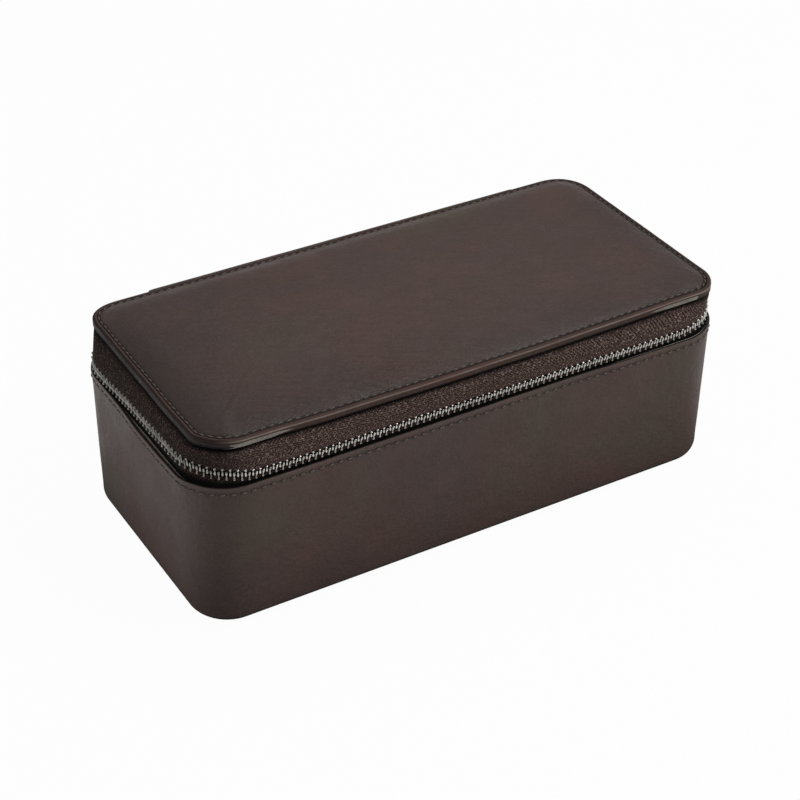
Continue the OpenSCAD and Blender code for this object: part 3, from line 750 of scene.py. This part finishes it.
def make_lid_edge():
    """The bound edge: leather turned over the board's edge, with a bead along its top and its foot."""
    section = [(-9.0, LID_Z + 0.02), (-6.0, LID_Z), (-3.0, LID_Z)]
    section += rounded((-0.75, LID_Z + 0.75), 0.75, 270, 360, 6)
    section += [(-0.08, LID_Z + 1.1), (-0.16, LID_Z + 1.5), (-0.08, LID_Z + 1.95), (0.0, LID_Z + 2.4)]
    section += rounded((-0.95, EDGE_TOP - 0.97), 0.95, 0, 90, 10)
    section += [(-1.3, EDGE_TOP), (-1.7, EDGE_TOP - 0.04), (-1.95, EDGE_TOP - 0.20), (-2.15, EDGE_TOP - 0.50),
                (-2.35, EDGE_TOP - 0.52), (-2.5, EDGE_TOP - 0.25), (-2.7, EDGE_TOP - 0.10),
                (-SEAM_IN, EDGE_TOP - 0.25), (-SEAM_IN - 0.2, EDGE_TOP - 1.0), (-6.5, EDGE_TOP - 1.1),
                (-9.0, LID_Z + 1.0)]
    rows = section_rows(LID, section)
    path = stations(LID, 1.8, 0.9)

    def shift(t, j, x, y, z, s):
        out, height = section[j]
        off, up = stray(LID_OUT, t), stray(LID_RISE, t)
        if out < -SEAM_IN - 0.05 or (out < -1 and height < 88):
            return off, up
        along = 0.08*wave(x, y, z, 30, 7.7) + 0.04*wave(x, y, z, 9, 2.7)
        dimple = 0.05*math.cos(2*math.pi*s/LID_PITCH)*bell(out, -2.6, 0.4)
        top = smooth((height - 88.5)/1.2)
        return off + along*smooth((out + 2.5)/1.5), up + 0.06*wave(x, y, z, 14, 1.9)*top - dimple

    def look(row, x, y, z):
        out, height = row
        patchy = 0.5 + 0.5*wave(x, y, z, 7, 3.3)
        left = smooth((-x - 108)/10)
        upper = smooth((height - 89)/0.3)
        # Painted highlights on the top edge's crest, on the left side's roll and on the bead at the foot
        crest = bell(height, 89.3, 0.22)*smooth((out + 0.9)/0.3)*(1 - 0.85*left)
        ridge = bell(out, -1.3, 0.4)*smooth((height - 89)/0.5)*left
        foot = bell(height, 87.85, 0.22)*smooth((out + 0.5)/0.3)*(0.12 + 0.88*left)
        wear = min(1.0, (1.0*crest + 0.10*ridge + 0.35*foot)*(0.35 + 1.0*patchy))
        # Painted shade in the seam groove, on the flat border, on the side, on the left side's roll, and under the
        # edge
        groove = bell(out, -2.25, 0.28)*upper
        border = smooth((-0.75 - out)/0.3)*upper
        side = smooth((88.95 - height)/0.3)*smooth((out + 0.8)/0.3)
        rolled = left*smooth((out + 1.5)/0.6)*(1 - 0.75*foot)
        under = smooth((87.3 - height)/0.45)
        return wear, min(1.0, 0.8*groove + 0.30*border*(1 - left) + 0.15*side + 0.75*rolled + under)

    points, faces, uvs = loft(path, rows, shift, wrap=True, reference=LID)
    obj = make("lid_bound_edge", points, faces, LEATHER_EDGE, uvs, *paint(points, section, look))
    finish_piece(obj, "lid", "leather", "lid_edge_binding")
    outline_stitches("lid_top_stitches", grow(LID, -SEAM_IN + 0.26), EDGE_TOP - 0.14, LID_PITCH, "lid", "leather",
                     1.0, lift=0.20, radius=0.26, length=0.60, strays=(LID_OUT, LID_RISE))


# Zip

LEAN_Z = CHAIN_Z + 4.1
FLANGE_Z = LID_Z - 0.1
TAPE_T = 0.8
TAPE_EDGE = 1.25
TAPE_LOW = 60.0


def tape_path(step, corner_step):
    """Stations of the chain's outline, without the stretch behind the spine."""
    s0, s1 = TAPE_END, perimeter(CHAIN) - TAPE_END
    inner = [p for p in stations(CHAIN, step, corner_step) if s0 + 0.5 < arc_at(CHAIN, *p) < s1 - 0.5]
    return [station_at(CHAIN, s0)] + inner + [station_at(CHAIN, s1)]


def make_tapes():
    """Woven tapes: the upper one climbs from the chain and turns in under the lid."""
    path = tape_path(1.8, 1.0)
    half = TAPE_T/2

    def mixed(a, b, f, by):
        return tuple(mix(a[i], b[i], f) + by for i in range(3))

    outer = [(0.0, half, CHAIN_Z + TAPE_EDGE), (0.0, 0.46, CHAIN_Z + 2.2), (0.0, 0.42, CHAIN_Z + 3.2),
             (0.03, 0.40, LEAN_Z), (0.2, 0.36, LEAN_Z + 1.4), (0.45, 0.28, LEAN_Z + 3.0),
             (0.75, 0.05, LEAN_Z + 4.8), (0.95, -0.25, LEAN_Z + 5.6), (1.0, -0.75, FLANGE_Z - 1.2),
             (1.0, -1.6, FLANGE_Z - 0.45), (1.0, -2.4, FLANGE_Z - 0.1), (1.0, -3.4, FLANGE_Z), (1.0, -8.0, FLANGE_Z)]
    inner = [(1.0, -8.0, FLANGE_Z - TAPE_T), (1.0, -2.9, FLANGE_Z - TAPE_T), (0.95, -1.15, LEAN_Z + 5.2),
             (0.45, -0.55, LEAN_Z + 2.7), (0.03, -half, LEAN_Z - 0.1), (0.0, -half, CHAIN_Z + TAPE_EDGE)]
    section = outer + inner

    def shift(t, j, x, y, z, s):
        mid = math.sin(math.pi*min(max((z - CHAIN_Z - 3.4)/(FLANGE_Z - CHAIN_Z - 3.4), 0), 1))
        billow = mid*(0.22*wave(x, y, 0, 34, 1.4) + 0.08*wave(x, y, 0, 11, 2.4) - 0.1)
        high = smooth((z - CHAIN_Z - 2.5)/8)
        out = mix(stray(CHAIN_OUT, t), stray(LID_OUT, t), high)
        return out + billow, mix(stray(CHAIN_RISE, t), stray(LID_RISE, t), high)

    rows = [(mixed(CHAIN, LID, f, by), z) for f, by, z in section]
    points, faces, uvs = loft(path, rows, shift, closed=False, wrap=True, caps=True, reference=CHAIN)
    def look(z, px, py, pz):
        # Painted shade on the left side, under the lid's edge and just above the chain
        left = 0.6*smooth((-px - 100)/18)
        return 0.0, min(1.0, left + smooth((z - FLANGE_Z + 2.3)/1.7) + 0.35*smooth((CHAIN_Z + 2.3 - z)/1.2))

    wear, dark = paint(points, [z for _, _, z in section], look)
    obj = make("zip_tape_upper_woven", points, faces, TAPE, uvs, wear, dark)
    finish_piece(obj, "lid", "zip_tape", "zip_tape_upper")

    # The lower tape stands behind the leather, leans in to the chain at the corners, and
    # is raised to the upper one behind the top stops and past the bottom stop
    stop_s = arc_at(CHAIN, 2, 0) + CHAIN[1] - CHAIN[2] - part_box("zip_stop_upper")[1].y/MM
    start_s = perimeter(CHAIN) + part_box("zip_bottom_stop")[1].x/MM
    rise = [(0.0, TAPE_LOW), (0.0, 69.9), (0.4, 70.9), (1.0, 71.9), (1.0, CHAIN_Z - TAPE_EDGE)]
    levels = [(f, half, z) for f, z in rise] + [(f, -half, z) for f, z in reversed(rise)]

    def raise_ends(t, j, x, y, z, s):
        raised = 2*TAPE_EDGE - 0.12 if j in (4, 5) and (s < stop_s or s > start_s) else 0.0
        high = smooth((z - 69.9)/3.3)
        return high*stray(CHAIN_OUT, t), raised + high*stray(CHAIN_RISE, t)

    rows = [(mixed(TAPE_FOOT, CHAIN, f, by), z) for f, by, z in levels]
    points, faces, uvs = loft(path, rows, raise_ends, closed=False, wrap=True, caps=True, reference=CHAIN)
    # Painted shade on the lower tape, which lies in the gap behind the leather
    dark = [1.0 if z < 71.5 else 0.6 for _, _, z in levels]*len(path)
    obj = make("zip_tape_lower_woven", points, faces, TAPE, uvs, None, dark)
    finish_piece(obj, "base", "zip_tape", "zip_tape_lower")


# Half width along the chain and half thickness through the tape, at heights from the chain's middle
TOOTH_RINGS = [
    (-0.90, 0.20, 0.42), (-0.84, 0.38, 0.70), (-0.62, 0.50, 0.92), (-0.20, 0.55, 1.00), (0.20, 0.52, 0.98),
    (0.50, 0.42, 0.90), (0.80, 0.34, 0.84), (1.10, 0.33, 0.86), (1.38, 0.42, 1.05), (1.62, 0.52, 1.24),
    (1.84, 0.53, 1.22), (2.02, 0.42, 0.96), (2.12, 0.22, 0.46)]
TOOTH_SIDES = 14


def tooth_mesh(upper):
    """A tooth with a rounded heel, a neck and a head, its heel upwards. The upper row has
    painted highlights brightest on its heels, the lower one where its heads mesh; both have painted shade on their
    inner sides."""
    points, wear, dark = [], [], []
    for z, w, t in TOOTH_RINGS:
        for j in range(TOOTH_SIDES):
            a = 2*math.pi*j/TOOTH_SIDES
            c, s = math.cos(a), math.sin(a)
            points.append((w*math.copysign(abs(c)**0.75, c), t*math.copysign(abs(s)**0.6, s), z))
            outer = smooth((s - 0.2)/0.6)
            heel = smooth((z - 1.35)/0.35)
            mesh_zone = bell(z, 0.1, 0.7)
            if upper:
                wear.append(0.95*heel*(0.35 + 0.65*outer) + (1 - heel)*outer*(0.30 + 0.40*mesh_zone))
                dark.append(0.45*(1 - outer)*(1 - heel))
            else:
                wear.append(outer*(0.22 + 0.50*mesh_zone + 0.12*heel))
                dark.append(0.45*(1 - outer))
    return points, tube_faces(len(TOOTH_RINGS), TOOTH_SIDES), wear, dark


def chain_frame(s_from_first):
    """Matrix that puts a piece on the chain: X along it, Y outwards, Z up."""
    first = arc_at(CHAIN, 2, 0) + CHAIN[1] - CHAIN[2] - FIRST_TOOTH_Y
    s = first + s_from_first
    t = sum(station_at(CHAIN, s))
    x, y, a = place(CHAIN, *station_at(CHAIN, s))
    out = stray(CHAIN_OUT, t)
    x, y, z = x + out*math.cos(a), y + out*math.sin(a), CHAIN_Z + stray(CHAIN_RISE, t)
    return Matrix.Translation((x, y, z)) @ Matrix.Rotation(a - math.pi/2, 4, "Z"), t


def make_teeth():
    mirror = Matrix.Diagonal((1, 1, -1, 1))
    rng = random.Random(11)
    for name, count, offset, upper, body, cad in (
            ("zip_teeth_upper_row", TEETH + 1, 0.0, True, "lid", "zip_teeth_upper"),
            ("zip_teeth_lower_row", TEETH, 0.5, False, "base", "zip_teeth_lower")):
        points, faces, wear, dark = tooth_mesh(upper)
        batch = Batch()
        for i in range(count):
            m, t = chain_frame((i + offset)*PITCH)
            lean = Matrix.Diagonal((1, 1, stray(TOOTH_TALL, t), 1))
            lean[0][2] = stray(UPPER_LEAN if upper else LOWER_LEAN, t) + rng.uniform(-0.03, 0.03)
            m = m @ lean
            if not upper:
                m = m @ mirror
            # Weaker painted highlights and more painted shade where the shine falls
            shine = stray(TOOTH_SHINE, t)
            level = rng.uniform(0.7, 1.15)*shine
            batch.add([m @ Vector(p) for p in points], faces, [min(w*level, 1) for w in wear],
                      [mix(0.6, d, shine) for d in dark])
        finish_piece(batch.build(name, [TEETH_METAL]), body, "zip_metal", cad)


# Spine


def make_spine():
    """The leather hinge: a strip across the back, built in its shape with the lid shut."""
    foot_z, top_z, t = SPINE_FOOT_Z, SPINE_TOP_Z, SPINE_T
    foot_y, lower_y, upper_y = 59.6 - 1.5*15/70, 59.6, 58.7
    front = [(foot_y, foot_z), (lower_y, 70.5), (mix(lower_y, upper_y, 0.2), 74.0),
             (mix(lower_y, upper_y, 0.6), 80.0), (upper_y, 85.5), (upper_y, top_z)]

    def outer_y(z):
        y = mix(foot_y, lower_y, (z - foot_z)/15) if z < 70 else mix(lower_y, upper_y, min((z - 70)/16.2, 1))
        return y + t - 0.5*math.exp(-min(top_z - z, z - foot_z)/0.35)

    heights = (top_z, 89.1, 88.4, 87.4, 86.6, 86.2, 85.6, 84.4, 83.0, 81.0, 79.0, 77.0, 75.0, 73.0, 71.5, 70.6,
               69.6, 68.0, 66.0, 63.5, 61.0, 58.5, 57.0, 56.0, 55.4, foot_z)
    section = front + [(outer_y(z), z) for z in heights]
    xs = [-SPINE_HALF + 0.02, -SPINE_HALF + 0.25, -SPINE_HALF + 0.8]
    xs += [mix(-SPINE_HALF + 2, SPINE_HALF - 2, i/90) for i in range(91)]
    xs += [SPINE_HALF - 0.8, SPINE_HALF - 0.25, SPINE_HALF - 0.02]
    n, m = len(xs), len(section)
    points, wear, dark = [], [], []
    for x in xs:
        edge = SPINE_HALF - abs(x)
        for j, (y, z) in enumerate(section):
            outside = j >= len(front)
            if outside:
                y += 0.10*wave(x, y, z, 22, 4.4)*smooth(edge/3) - 0.10 - 0.45*math.exp(-edge/0.35)
                y -= 0.18*bell(z, SPINE_SEAMS[0], 0.5) + 0.18*bell(z, SPINE_SEAMS[1], 0.4)
            points.append((x, y, z))
            # Lighter along the cut edges and the top; painted shade on the inner face
            wear.append((0.25*math.exp(-edge/0.8) + 0.22*math.exp(-abs(z - top_z)/0.5))*outside)
            dark.append(0.0 if outside else 0.6)
    v = [0.0]
    for j in range(m):
        v.append(v[-1] + math.dist(section[j], section[(j + 1) % m]))
    faces = tube_faces(n, m)
    uvs = [((a, v[j]), (a, v[j + 1]), (b, v[j + 1]), (b, v[j])) for a, b in zip(xs, xs[1:]) for j in range(m)]
    uvs += [tuple((0.0, v[j]) for j in range(m - 1, -1, -1)), tuple((0.0, v[j]) for j in range(m))]
    obj = make("hinge_spine_leather", points, faces, LEATHER_DARK, uvs, wear, dark)
    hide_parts("hinge_spine")
    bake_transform(obj)
    low, high = SPINE_SEAMS
    reach = SPINE_HALF - 3
    for name, z, body, y in (("spine_stitches_lower", low, "base", foot_y + (low - foot_z)/15*0.32 + t - 0.30),
                             ("spine_stitches_upper", high, "lid", upper_y + t - 0.30)):
        batch = Batch()
        count = int(2*reach//4.0)
        for i in range(count):
            x = -SPINE_HALF + 3 + (i + 0.5)*2*reach/count
            add_stitch(batch, Vector((x, y, z)), Vector((1, 0, 0)), Vector((0, 1, 0)), 2.8, 0.24, 0.16)
        finish_piece(batch.build(name, [THREAD, STITCH_HOLE_SHADE]), body, "leather")


# Inside

INSERT_TOP = 84.0
INSERT_T = 2.4
WELT_Z = 79.5
FLOOR_Z = 4.95
FLOOR_TOP = 6.9
LINING = grow(LID, -9.1)
LINING_TOP = 86.18
LINING_LOW = 85.02
LINING_SEAM = 6.0


def make_insert():
    """The lined inner wall, with a soft rolled top and a row of stitches at the welt's height."""
    top, t = INSERT_TOP, INSERT_T
    section = [(-t, z) for z in (FLOOR_Z, 12.0, 30.0, 50.0, 68.0, 78.0, top - t/2 - 0.6)]
    section += rounded((-t/2, top - t/2), t/2, 180, 0, 10)
    section += [(0, z) for z in (80.0, 70.0, 40.0, FLOOR_Z)]
    rows = section_rows(INSERT, section)

    def shift(t, j, x, y, z, s):
        out, height = section[j]
        if out > -INSERT_T/2:
            return 0.0, 0.0
        soft = 0.12*wave(x, y, z, 26, 3.0) + 0.06*wave(x, y, z, 9, 5.0)
        return soft*smooth((height - 5)/6)*0.8 + 0.1, 0.0

    points, faces, uvs = loft(stations(INSERT, 3.0, 1.2), rows, shift, wrap=True, reference=INSERT)
    obj = make("insert_wall_lining", points, faces, SUEDE, uvs)
    finish_piece(obj, "base", "lining", "insert_wall")
    outline_stitches("insert_wall_stitches", grow(INSERT, -t), WELT_Z, 4.4, "base", "lining", 0.0, out=0.05,
                     materials=[THREAD_TAN, STITCH_HOLE_SHADE], length=0.66)


def make_divider(k):
    """A thin padded board wrapped in suede, standing in its CAD box."""
    low, high = (corner/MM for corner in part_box(f"divider_{k}"))
    w, d, t = high.z - low.z, high.y - low.y, high.x - low.x
    nx, ny = int(w/3), int(d/3)
    turn = Vector((0, 0, 1)).rotation_difference(Vector((1, 0, 0))).to_matrix()
    points, index = [], {}
    for side in (-1, 1):
        for i in range(nx + 1):
            for j in range(ny + 1):
                u, v = -1 + 2*i/nx, -1 + 2*j/ny
                e = min((1 - abs(u))*w/2, (1 - abs(v))*d/2)
                thick = t/2*(1 - 0.75*math.exp(-e/1.3*1.6))
                soft = 0.4*(smooth(e/14) - 1)*0.25 + 0.05*0.4*wave(u*w/2, v*d/2, side*5, 14, k)
                index[side, i, j] = len(points)
                at = Vector((u*w/2, v*d/2, side*(thick + min(soft, 0.0))))
                points.append(turn @ at + (low + high)/2)
    faces = []
    for side in (-1, 1):
        for i in range(nx):
            for j in range(ny):
                quad = (index[side, i, j], index[side, i + 1, j], index[side, i + 1, j + 1], index[side, i, j + 1])
                faces.append(quad if side > 0 else quad[::-1])
    ring = [(i, 0) for i in range(nx)] + [(nx, j) for j in range(ny)]
    ring += [(nx - i, ny - j) for i, j in ring]
    for (i, j), (i2, j2) in zip(ring, ring[1:] + ring[:1]):
        faces.append((index[-1, i, j], index[-1, i2, j2], index[1, i2, j2], index[1, i, j]))
    obj = make(f"divider_{k}_padded", points, faces, SUEDE)
    sub = obj.modifiers.new("round", "SUBSURF")
    sub.levels = sub.render_levels = 1
    finish_piece(obj, "base", "lining", f"divider_{k}")


def make_inside():
    make_insert()
    # Padded floor
    inner = grow(INSERT, -2.5)
    insets = [0.0, 0.4, 1.0, 2.0, 4.0, 8.0, 14.0, 22.0, 32.0, 42.0, 49.0]
    rows = [(inner, FLOOR_Z), (inner, FLOOR_TOP - 1)]
    rows += [(grow(inner, -i), FLOOR_TOP - 0.75*math.exp(-i/0.7)) for i in insets]

    def soft(t, j, x, y, z, s):
        return 0.0, (0.0 if j < 3 else -0.06 + 0.05*wave(x, y, 0, 20, 6.0))

    points, faces, uvs = loft(stations(inner, 3.0, 1.5), rows, soft, reference=inner)
    close_ends(points, faces, uvs, len(rows))
    obj = make("insert_floor_pad", points, faces, SUEDE, uvs)
    finish_piece(obj, "base", "lining", "insert_floor")

    for k in (1, 2, 3):
        make_divider(k)

    # Lid lining: a padded panel with a flat border and a seam round it
    insets = [0.0, 0.3, 0.8, 2.0, 4.0, 5.6, 6.0, 6.4, 7.2, 9.0, 12.0, 17.0, 24.0, 32.0, 40.0, 46.0]
    rows = [(LINING, LINING_TOP), (LINING, LINING_TOP - 0.5)] + [(grow(LINING, -i), LINING_LOW) for i in insets]

    def hang(t, j, x, y, z, s):
        if j < 2:
            return 0.0, 0.0
        i = insets[j - 2]
        calm = 0.14 + 0.05*wave(x, y, 0, 16, 8.0)
        return 0.0, 0.5*math.exp(-i/0.35) + 0.34*bell(i, LINING_SEAM, 0.35) + calm*smooth(i/2)*0.8

    points, faces, uvs = loft(stations(LINING, 2.5, 1.2), rows, hang, reference=LINING)
    close_ends(points, faces, uvs, len(rows))
    faces = [face[::-1] for face in faces]
    uvs = [uv[::-1] for uv in uvs]
    # Painted shade in the seam's groove
    seam_shade = [0.0, 0.0] + [0.55*bell(i, LINING_SEAM, 0.35) for i in insets]
    obj = make("lid_lining_padded", points, faces, SUEDE, uvs, None, seam_shade*(len(points)//len(rows)))
    finish_piece(obj, "lid", "lining", "lid_lining")


# Pillows

PILLOW_W, PILLOW_L, PILLOW_H = 53.05, 76.0, 44.0


def squircle(a, power=3.0):
    return (abs(math.cos(a))**power + abs(math.sin(a))**power)**(-1/power)


def pillow_shape(shrink):
    """Rings of a wrapped cushion, from one end disc to the other."""
    ends = [(1.0, 0.0), (0.995, 0.30), (0.985, 0.55), (0.965, 0.72), (0.93, 0.82), (0.88, 0.90), (0.80, 0.955),
            (0.66, 0.985), (0.45, 1.0), (0.22, 0.995), (0.0, 0.99)]
    rings = [(-u, q) for u, q in ends] + [(u, q) for u, q in reversed(ends[:-1])]
    sides = 56
    points = []
    for u, q in rings:
        for k in range(sides):
            a = 2*math.pi*k/sides
            r = squircle(a)*q
            points.append((u*(PILLOW_W/2 - shrink), r*math.cos(a)*(PILLOW_L/2 - shrink),
                           r*math.sin(a)*(PILLOW_H/2 - shrink)))
    return points, tube_faces(len(rings), sides)


def inflate(obj, limit, frames=20):
    """Remeshes a piece, lets it swell as cloth, and caps how far each point may move."""
    remesh = obj.modifiers.new("remesh", "REMESH")
    remesh.mode = "VOXEL"
    remesh.voxel_size = 0.0032
    bpy.context.view_layer.objects.active = obj
    deps = bpy.context.evaluated_depsgraph_get()
    mesh = bpy.data.meshes.new_from_object(obj.evaluated_get(deps))
    obj.modifiers.clear()
    obj.data = mesh
    start = np.array([v.co for v in mesh.vertices], float)
    cloth = obj.modifiers.new("cloth", "CLOTH")
    settings = cloth.settings
    for key, value in (("quality", 5), ("mass", 0.15), ("tension_stiffness", 18), ("compression_stiffness", 8),
                       ("shear_stiffness", 6), ("bending_stiffness", 0.4), ("use_pressure", True),
                       ("uniform_pressure_force", 4.0), ("shrink_min", -0.035)):
        setattr(settings, key, value)
    settings.effector_weights.gravity = 0
    pins = obj.vertex_groups.new(name="pins")
    wide = PILLOW_W/2*MM
    for v in mesh.vertices:
        rim = math.exp(-((abs(v.co.x) - 0.90*wide)/(0.045*wide))**2)
        if rim > 0.25:
            pins.add([v.index], 0.55*rim, "REPLACE")
    settings.vertex_group_mass = "pins"
    cloth.point_cache.frame_start = 1
    cloth.point_cache.frame_end = frames
    scene = bpy.context.scene
    for number in range(1, frames + 1):
        scene.frame_set(number)
    deps = bpy.context.evaluated_depsgraph_get()
    done = obj.evaluated_get(deps).to_mesh()
    moved = np.array([v.co for v in done.vertices], float) - start
    obj.evaluated_get(deps).to_mesh_clear()
    size = np.linalg.norm(moved, axis=1, keepdims=True)
    moved *= np.minimum(1, limit/np.maximum(size, 1e-9))
    obj.modifiers.clear()
    obj.vertex_groups.clear()
    mesh.vertices.foreach_set("co", (start + moved).ravel())
    mesh.update()
    scene.frame_set(1)


def make_pillows():
    """Four suede pillows, swollen once as cloth and then fitted to their bays."""
    points, faces = pillow_shape(2.2)
    soft = make("pillow_form", points, faces, SUEDE_SOFT)
    inflate(soft, 0.0035)
    rest = np.array([v.co for v in soft.data.vertices], float)/MM
    half = np.array([PILLOW_W/2, PILLOW_L/2, PILLOW_H/2])
    rest *= half/np.abs(rest).max(0)
    polygons = [tuple(p.vertices) for p in soft.data.polygons]
    bpy.data.objects.remove(soft)
    for k in (1, 2, 3, 4):
        low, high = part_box(f"pillow_{k}")
        centre = np.array((low + high)/2)/MM
        flip = np.array([(-1, 1, 1), (1, 1, 1), (1, -1, 1), (-1, -1, 1)][k - 1], float)
        placed = []
        for x, y, z in rest*flip:
            ring = math.exp(-((abs(x)/half[0] - 0.90)/0.035)**2)
            pinch = 1 - 0.028*ring
            soft_x = 0.25*wave(x, y, z, 16, 10 + k)
            placed.append((x*0.985 + soft_x*(1 - ring), y*0.985*pinch, z*0.985*pinch))
        placed = np.array(placed)
        placed *= np.minimum(1, (half - 0.05)/np.abs(placed).max(0))
        # Painted shade in the pinched crease round each end
        dark = [0.8*math.exp(-((abs(p[0])/half[0] - 0.90)/0.014)**2) for p in placed]
        polys = [p[::-1] for p in polygons] if flip.prod() < 0 else polygons
        obj = make(f"pillow_{k}_suede", [tuple(p) for p in placed + centre], polys, SUEDE_SOFT, None, None, dark)
        sub = obj.modifiers.new("soften", "SUBSURF")
        sub.levels = sub.render_levels = 1
        finish_piece(obj, f"watch_pillow_{k}", "pillow", f"pillow_{k}")


# Slider, pull


def dress_cad():
    """Materials of the CAD nodes that show as they are, and rounded edges on the metal."""
    looks = {
        "lid_board": BOARD,
        "zip_stop_lower": TEETH_METAL, "zip_stop_upper": TEETH_METAL, "zip_bottom_stop": TEETH_METAL,
        "slider_body": SLIDER_METAL, "pull_link": SLIDER_METAL, "pull_rivet": SLIDER_METAL,
        "pull_tab": LEATHER_EDGE,
    }
    for name, material in looks.items():
        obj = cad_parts[name]
        obj.data.materials.clear()
        obj.data.materials.append(material)
    for name, width in (("slider_body", 0.22), ("zip_stop_lower", 0.2), ("zip_stop_upper", 0.2),
                        ("zip_bottom_stop", 0.25), ("pull_tab", 0.25), ("pull_rivet", 0.12)):
        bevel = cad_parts[name].modifiers.new("edges", "BEVEL")
        bevel.width = width*MM
        bevel.segments = 3
        bevel.limit_method = "ANGLE"
        bevel.angle_limit = math.radians(35)


# Camera and light


# The camera fitted to the photograph: its focal length in pixels, its place in millimetres, and its axes
PHOTO_PX = 800
FOCAL_PX = 1980.27
CAMERA_AT = (-368.95, -604.23, 520.69)
CAMERA_RIGHT = (0.8595, -0.5110, 0.0119)
CAMERA_FORWARD = (0.4281, 0.7069, -0.5630)


def make_camera():
    """The photograph's camera, from the fitted view of the case's outlines."""
    data = bpy.data.cameras.new("camera")
    data.sensor_width = 36.0
    data.lens = FOCAL_PX/PHOTO_PX*data.sensor_width
    data.clip_start = 0.05
    data.clip_end = 20.0
    cam = bpy.data.objects.new("camera", data)
    bpy.context.scene.collection.objects.link(cam)
    right = Vector(CAMERA_RIGHT).normalized()
    forward = Vector(CAMERA_FORWARD).normalized()
    up = right.cross(forward).normalized()
    right = forward.cross(up).normalized()
    m = Matrix((right, up, -forward)).transposed().to_4x4()
    m.translation = Vector(CAMERA_AT)*MM
    cam.matrix_world = m
    bpy.context.scene.camera = cam


def area(name, location, target, size, power, size_y=None):
    data = bpy.data.lights.new(name, "AREA")
    data.shape = "RECTANGLE"
    data.size = size
    data.size_y = size_y or size
    data.energy = power
    lamp = bpy.data.objects.new(name, data)
    lamp.location = location
    lamp.rotation_euler = (Vector(target) - Vector(location)).to_track_quat("-Z", "Y").to_euler()
    bpy.context.scene.collection.objects.link(lamp)


FLOOR_HALF = 6
# The floor's strength in reflections: beside the case, far from it, and the way between the two
FLOOR_NEAR = 0.10
FLOOR_FAR = 0.9
FLOOR_REACH = 0.060


def make_studio():
    r = FLOOR_HALF
    mesh = bpy.data.meshes.new("floor")
    mesh.from_pydata([(-r, -r, 0), (r, -r, 0), (r, r, 0), (-r, r, 0)], [], [(0, 1, 2, 3)])
    floor = bpy.data.objects.new("floor", mesh)
    bpy.context.scene.collection.objects.link(floor)
    mat, tree = start_material("floor_white")
    diffuse = node(tree, "ShaderNodeBsdfDiffuse", {"Color": (0.62, 0.62, 0.62, 1)})
    path = node(tree, "ShaderNodeLightPath")
    # The floor is white to the camera, and in reflections darker near the case, as in its shade
    spot = node(tree, "ShaderNodeSeparateXYZ", {0: node(tree, "ShaderNodeTexCoord").outputs["Object"]})
    off_x = math_node(tree, "SUBTRACT", math_node(tree, "ABSOLUTE", spot.outputs[0]), BOTTOM[0]*MM)
    off_y = math_node(tree, "SUBTRACT", math_node(tree, "ABSOLUTE", spot.outputs[1]), BOTTOM[1]*MM)
    off = math_node(tree, "MAXIMUM", off_x, off_y)
    mirrored = remap(tree, off, 0.0, FLOOR_REACH, FLOOR_NEAR, FLOOR_FAR)
    level = math_node(tree, "MAXIMUM", path.outputs["Is Camera Ray"], mirrored)
    glow = node(tree, "ShaderNodeEmission", {"Color": (1, 1, 1, 1), "Strength": level})
    seen = math_node(tree, "MAXIMUM", path.outputs["Is Camera Ray"], path.outputs["Is Glossy Ray"])
    fac = math_node(tree, "MULTIPLY", seen, 0.97)
    blend = node(tree, "ShaderNodeMixShader", {0: fac, 1: diffuse.outputs[0], 2: glow.outputs[0]})
    node(tree, "ShaderNodeOutputMaterial", {0: blend.outputs[0]})
    mesh.materials.append(mat)

    world = bpy.data.worlds.new("studio")
    bpy.context.scene.world = world
    world.use_nodes = True
    tree = world.node_tree
    tree.nodes.clear()
    path = node(tree, "ShaderNodeLightPath")
    seen = math_node(tree, "MAXIMUM", path.outputs["Is Camera Ray"], path.outputs["Is Transmission Ray"])
    soft = node(tree, "ShaderNodeBackground", {"Color": (1, 1, 1, 1), "Strength": 0.34})
    white = node(tree, "ShaderNodeBackground", {"Color": (1, 1, 1, 1), "Strength": 1.0})
    blend = node(tree, "ShaderNodeMixShader", {0: seen, 1: soft.outputs[0], 2: white.outputs[0]})
    node(tree, "ShaderNodeOutputWorld", {0: blend.outputs[0]})

    area("top_softbox", (0.30, 0.28, 1.0), (0, 0, 0.05), 0.8, 1.9, 0.6)
    area("left_softbox", (-1.2, 0.25, 0.6), (0, 0, 0.05), 0.8, 2.3, 0.7)
    area("front_right_softbox", (0.62, -0.62, 1.15), (0, 0, 0.05), 0.6, 8.5, 0.4)
    bpy.context.scene.view_settings.view_transform = "Standard"


make_camera()
make_studio()
make_base_shell()
make_board_tub()
make_bottom()
make_lid_top()
make_lid_edge()
make_tapes()
make_teeth()
make_spine()
make_inside()
make_pillows()
dress_cad()
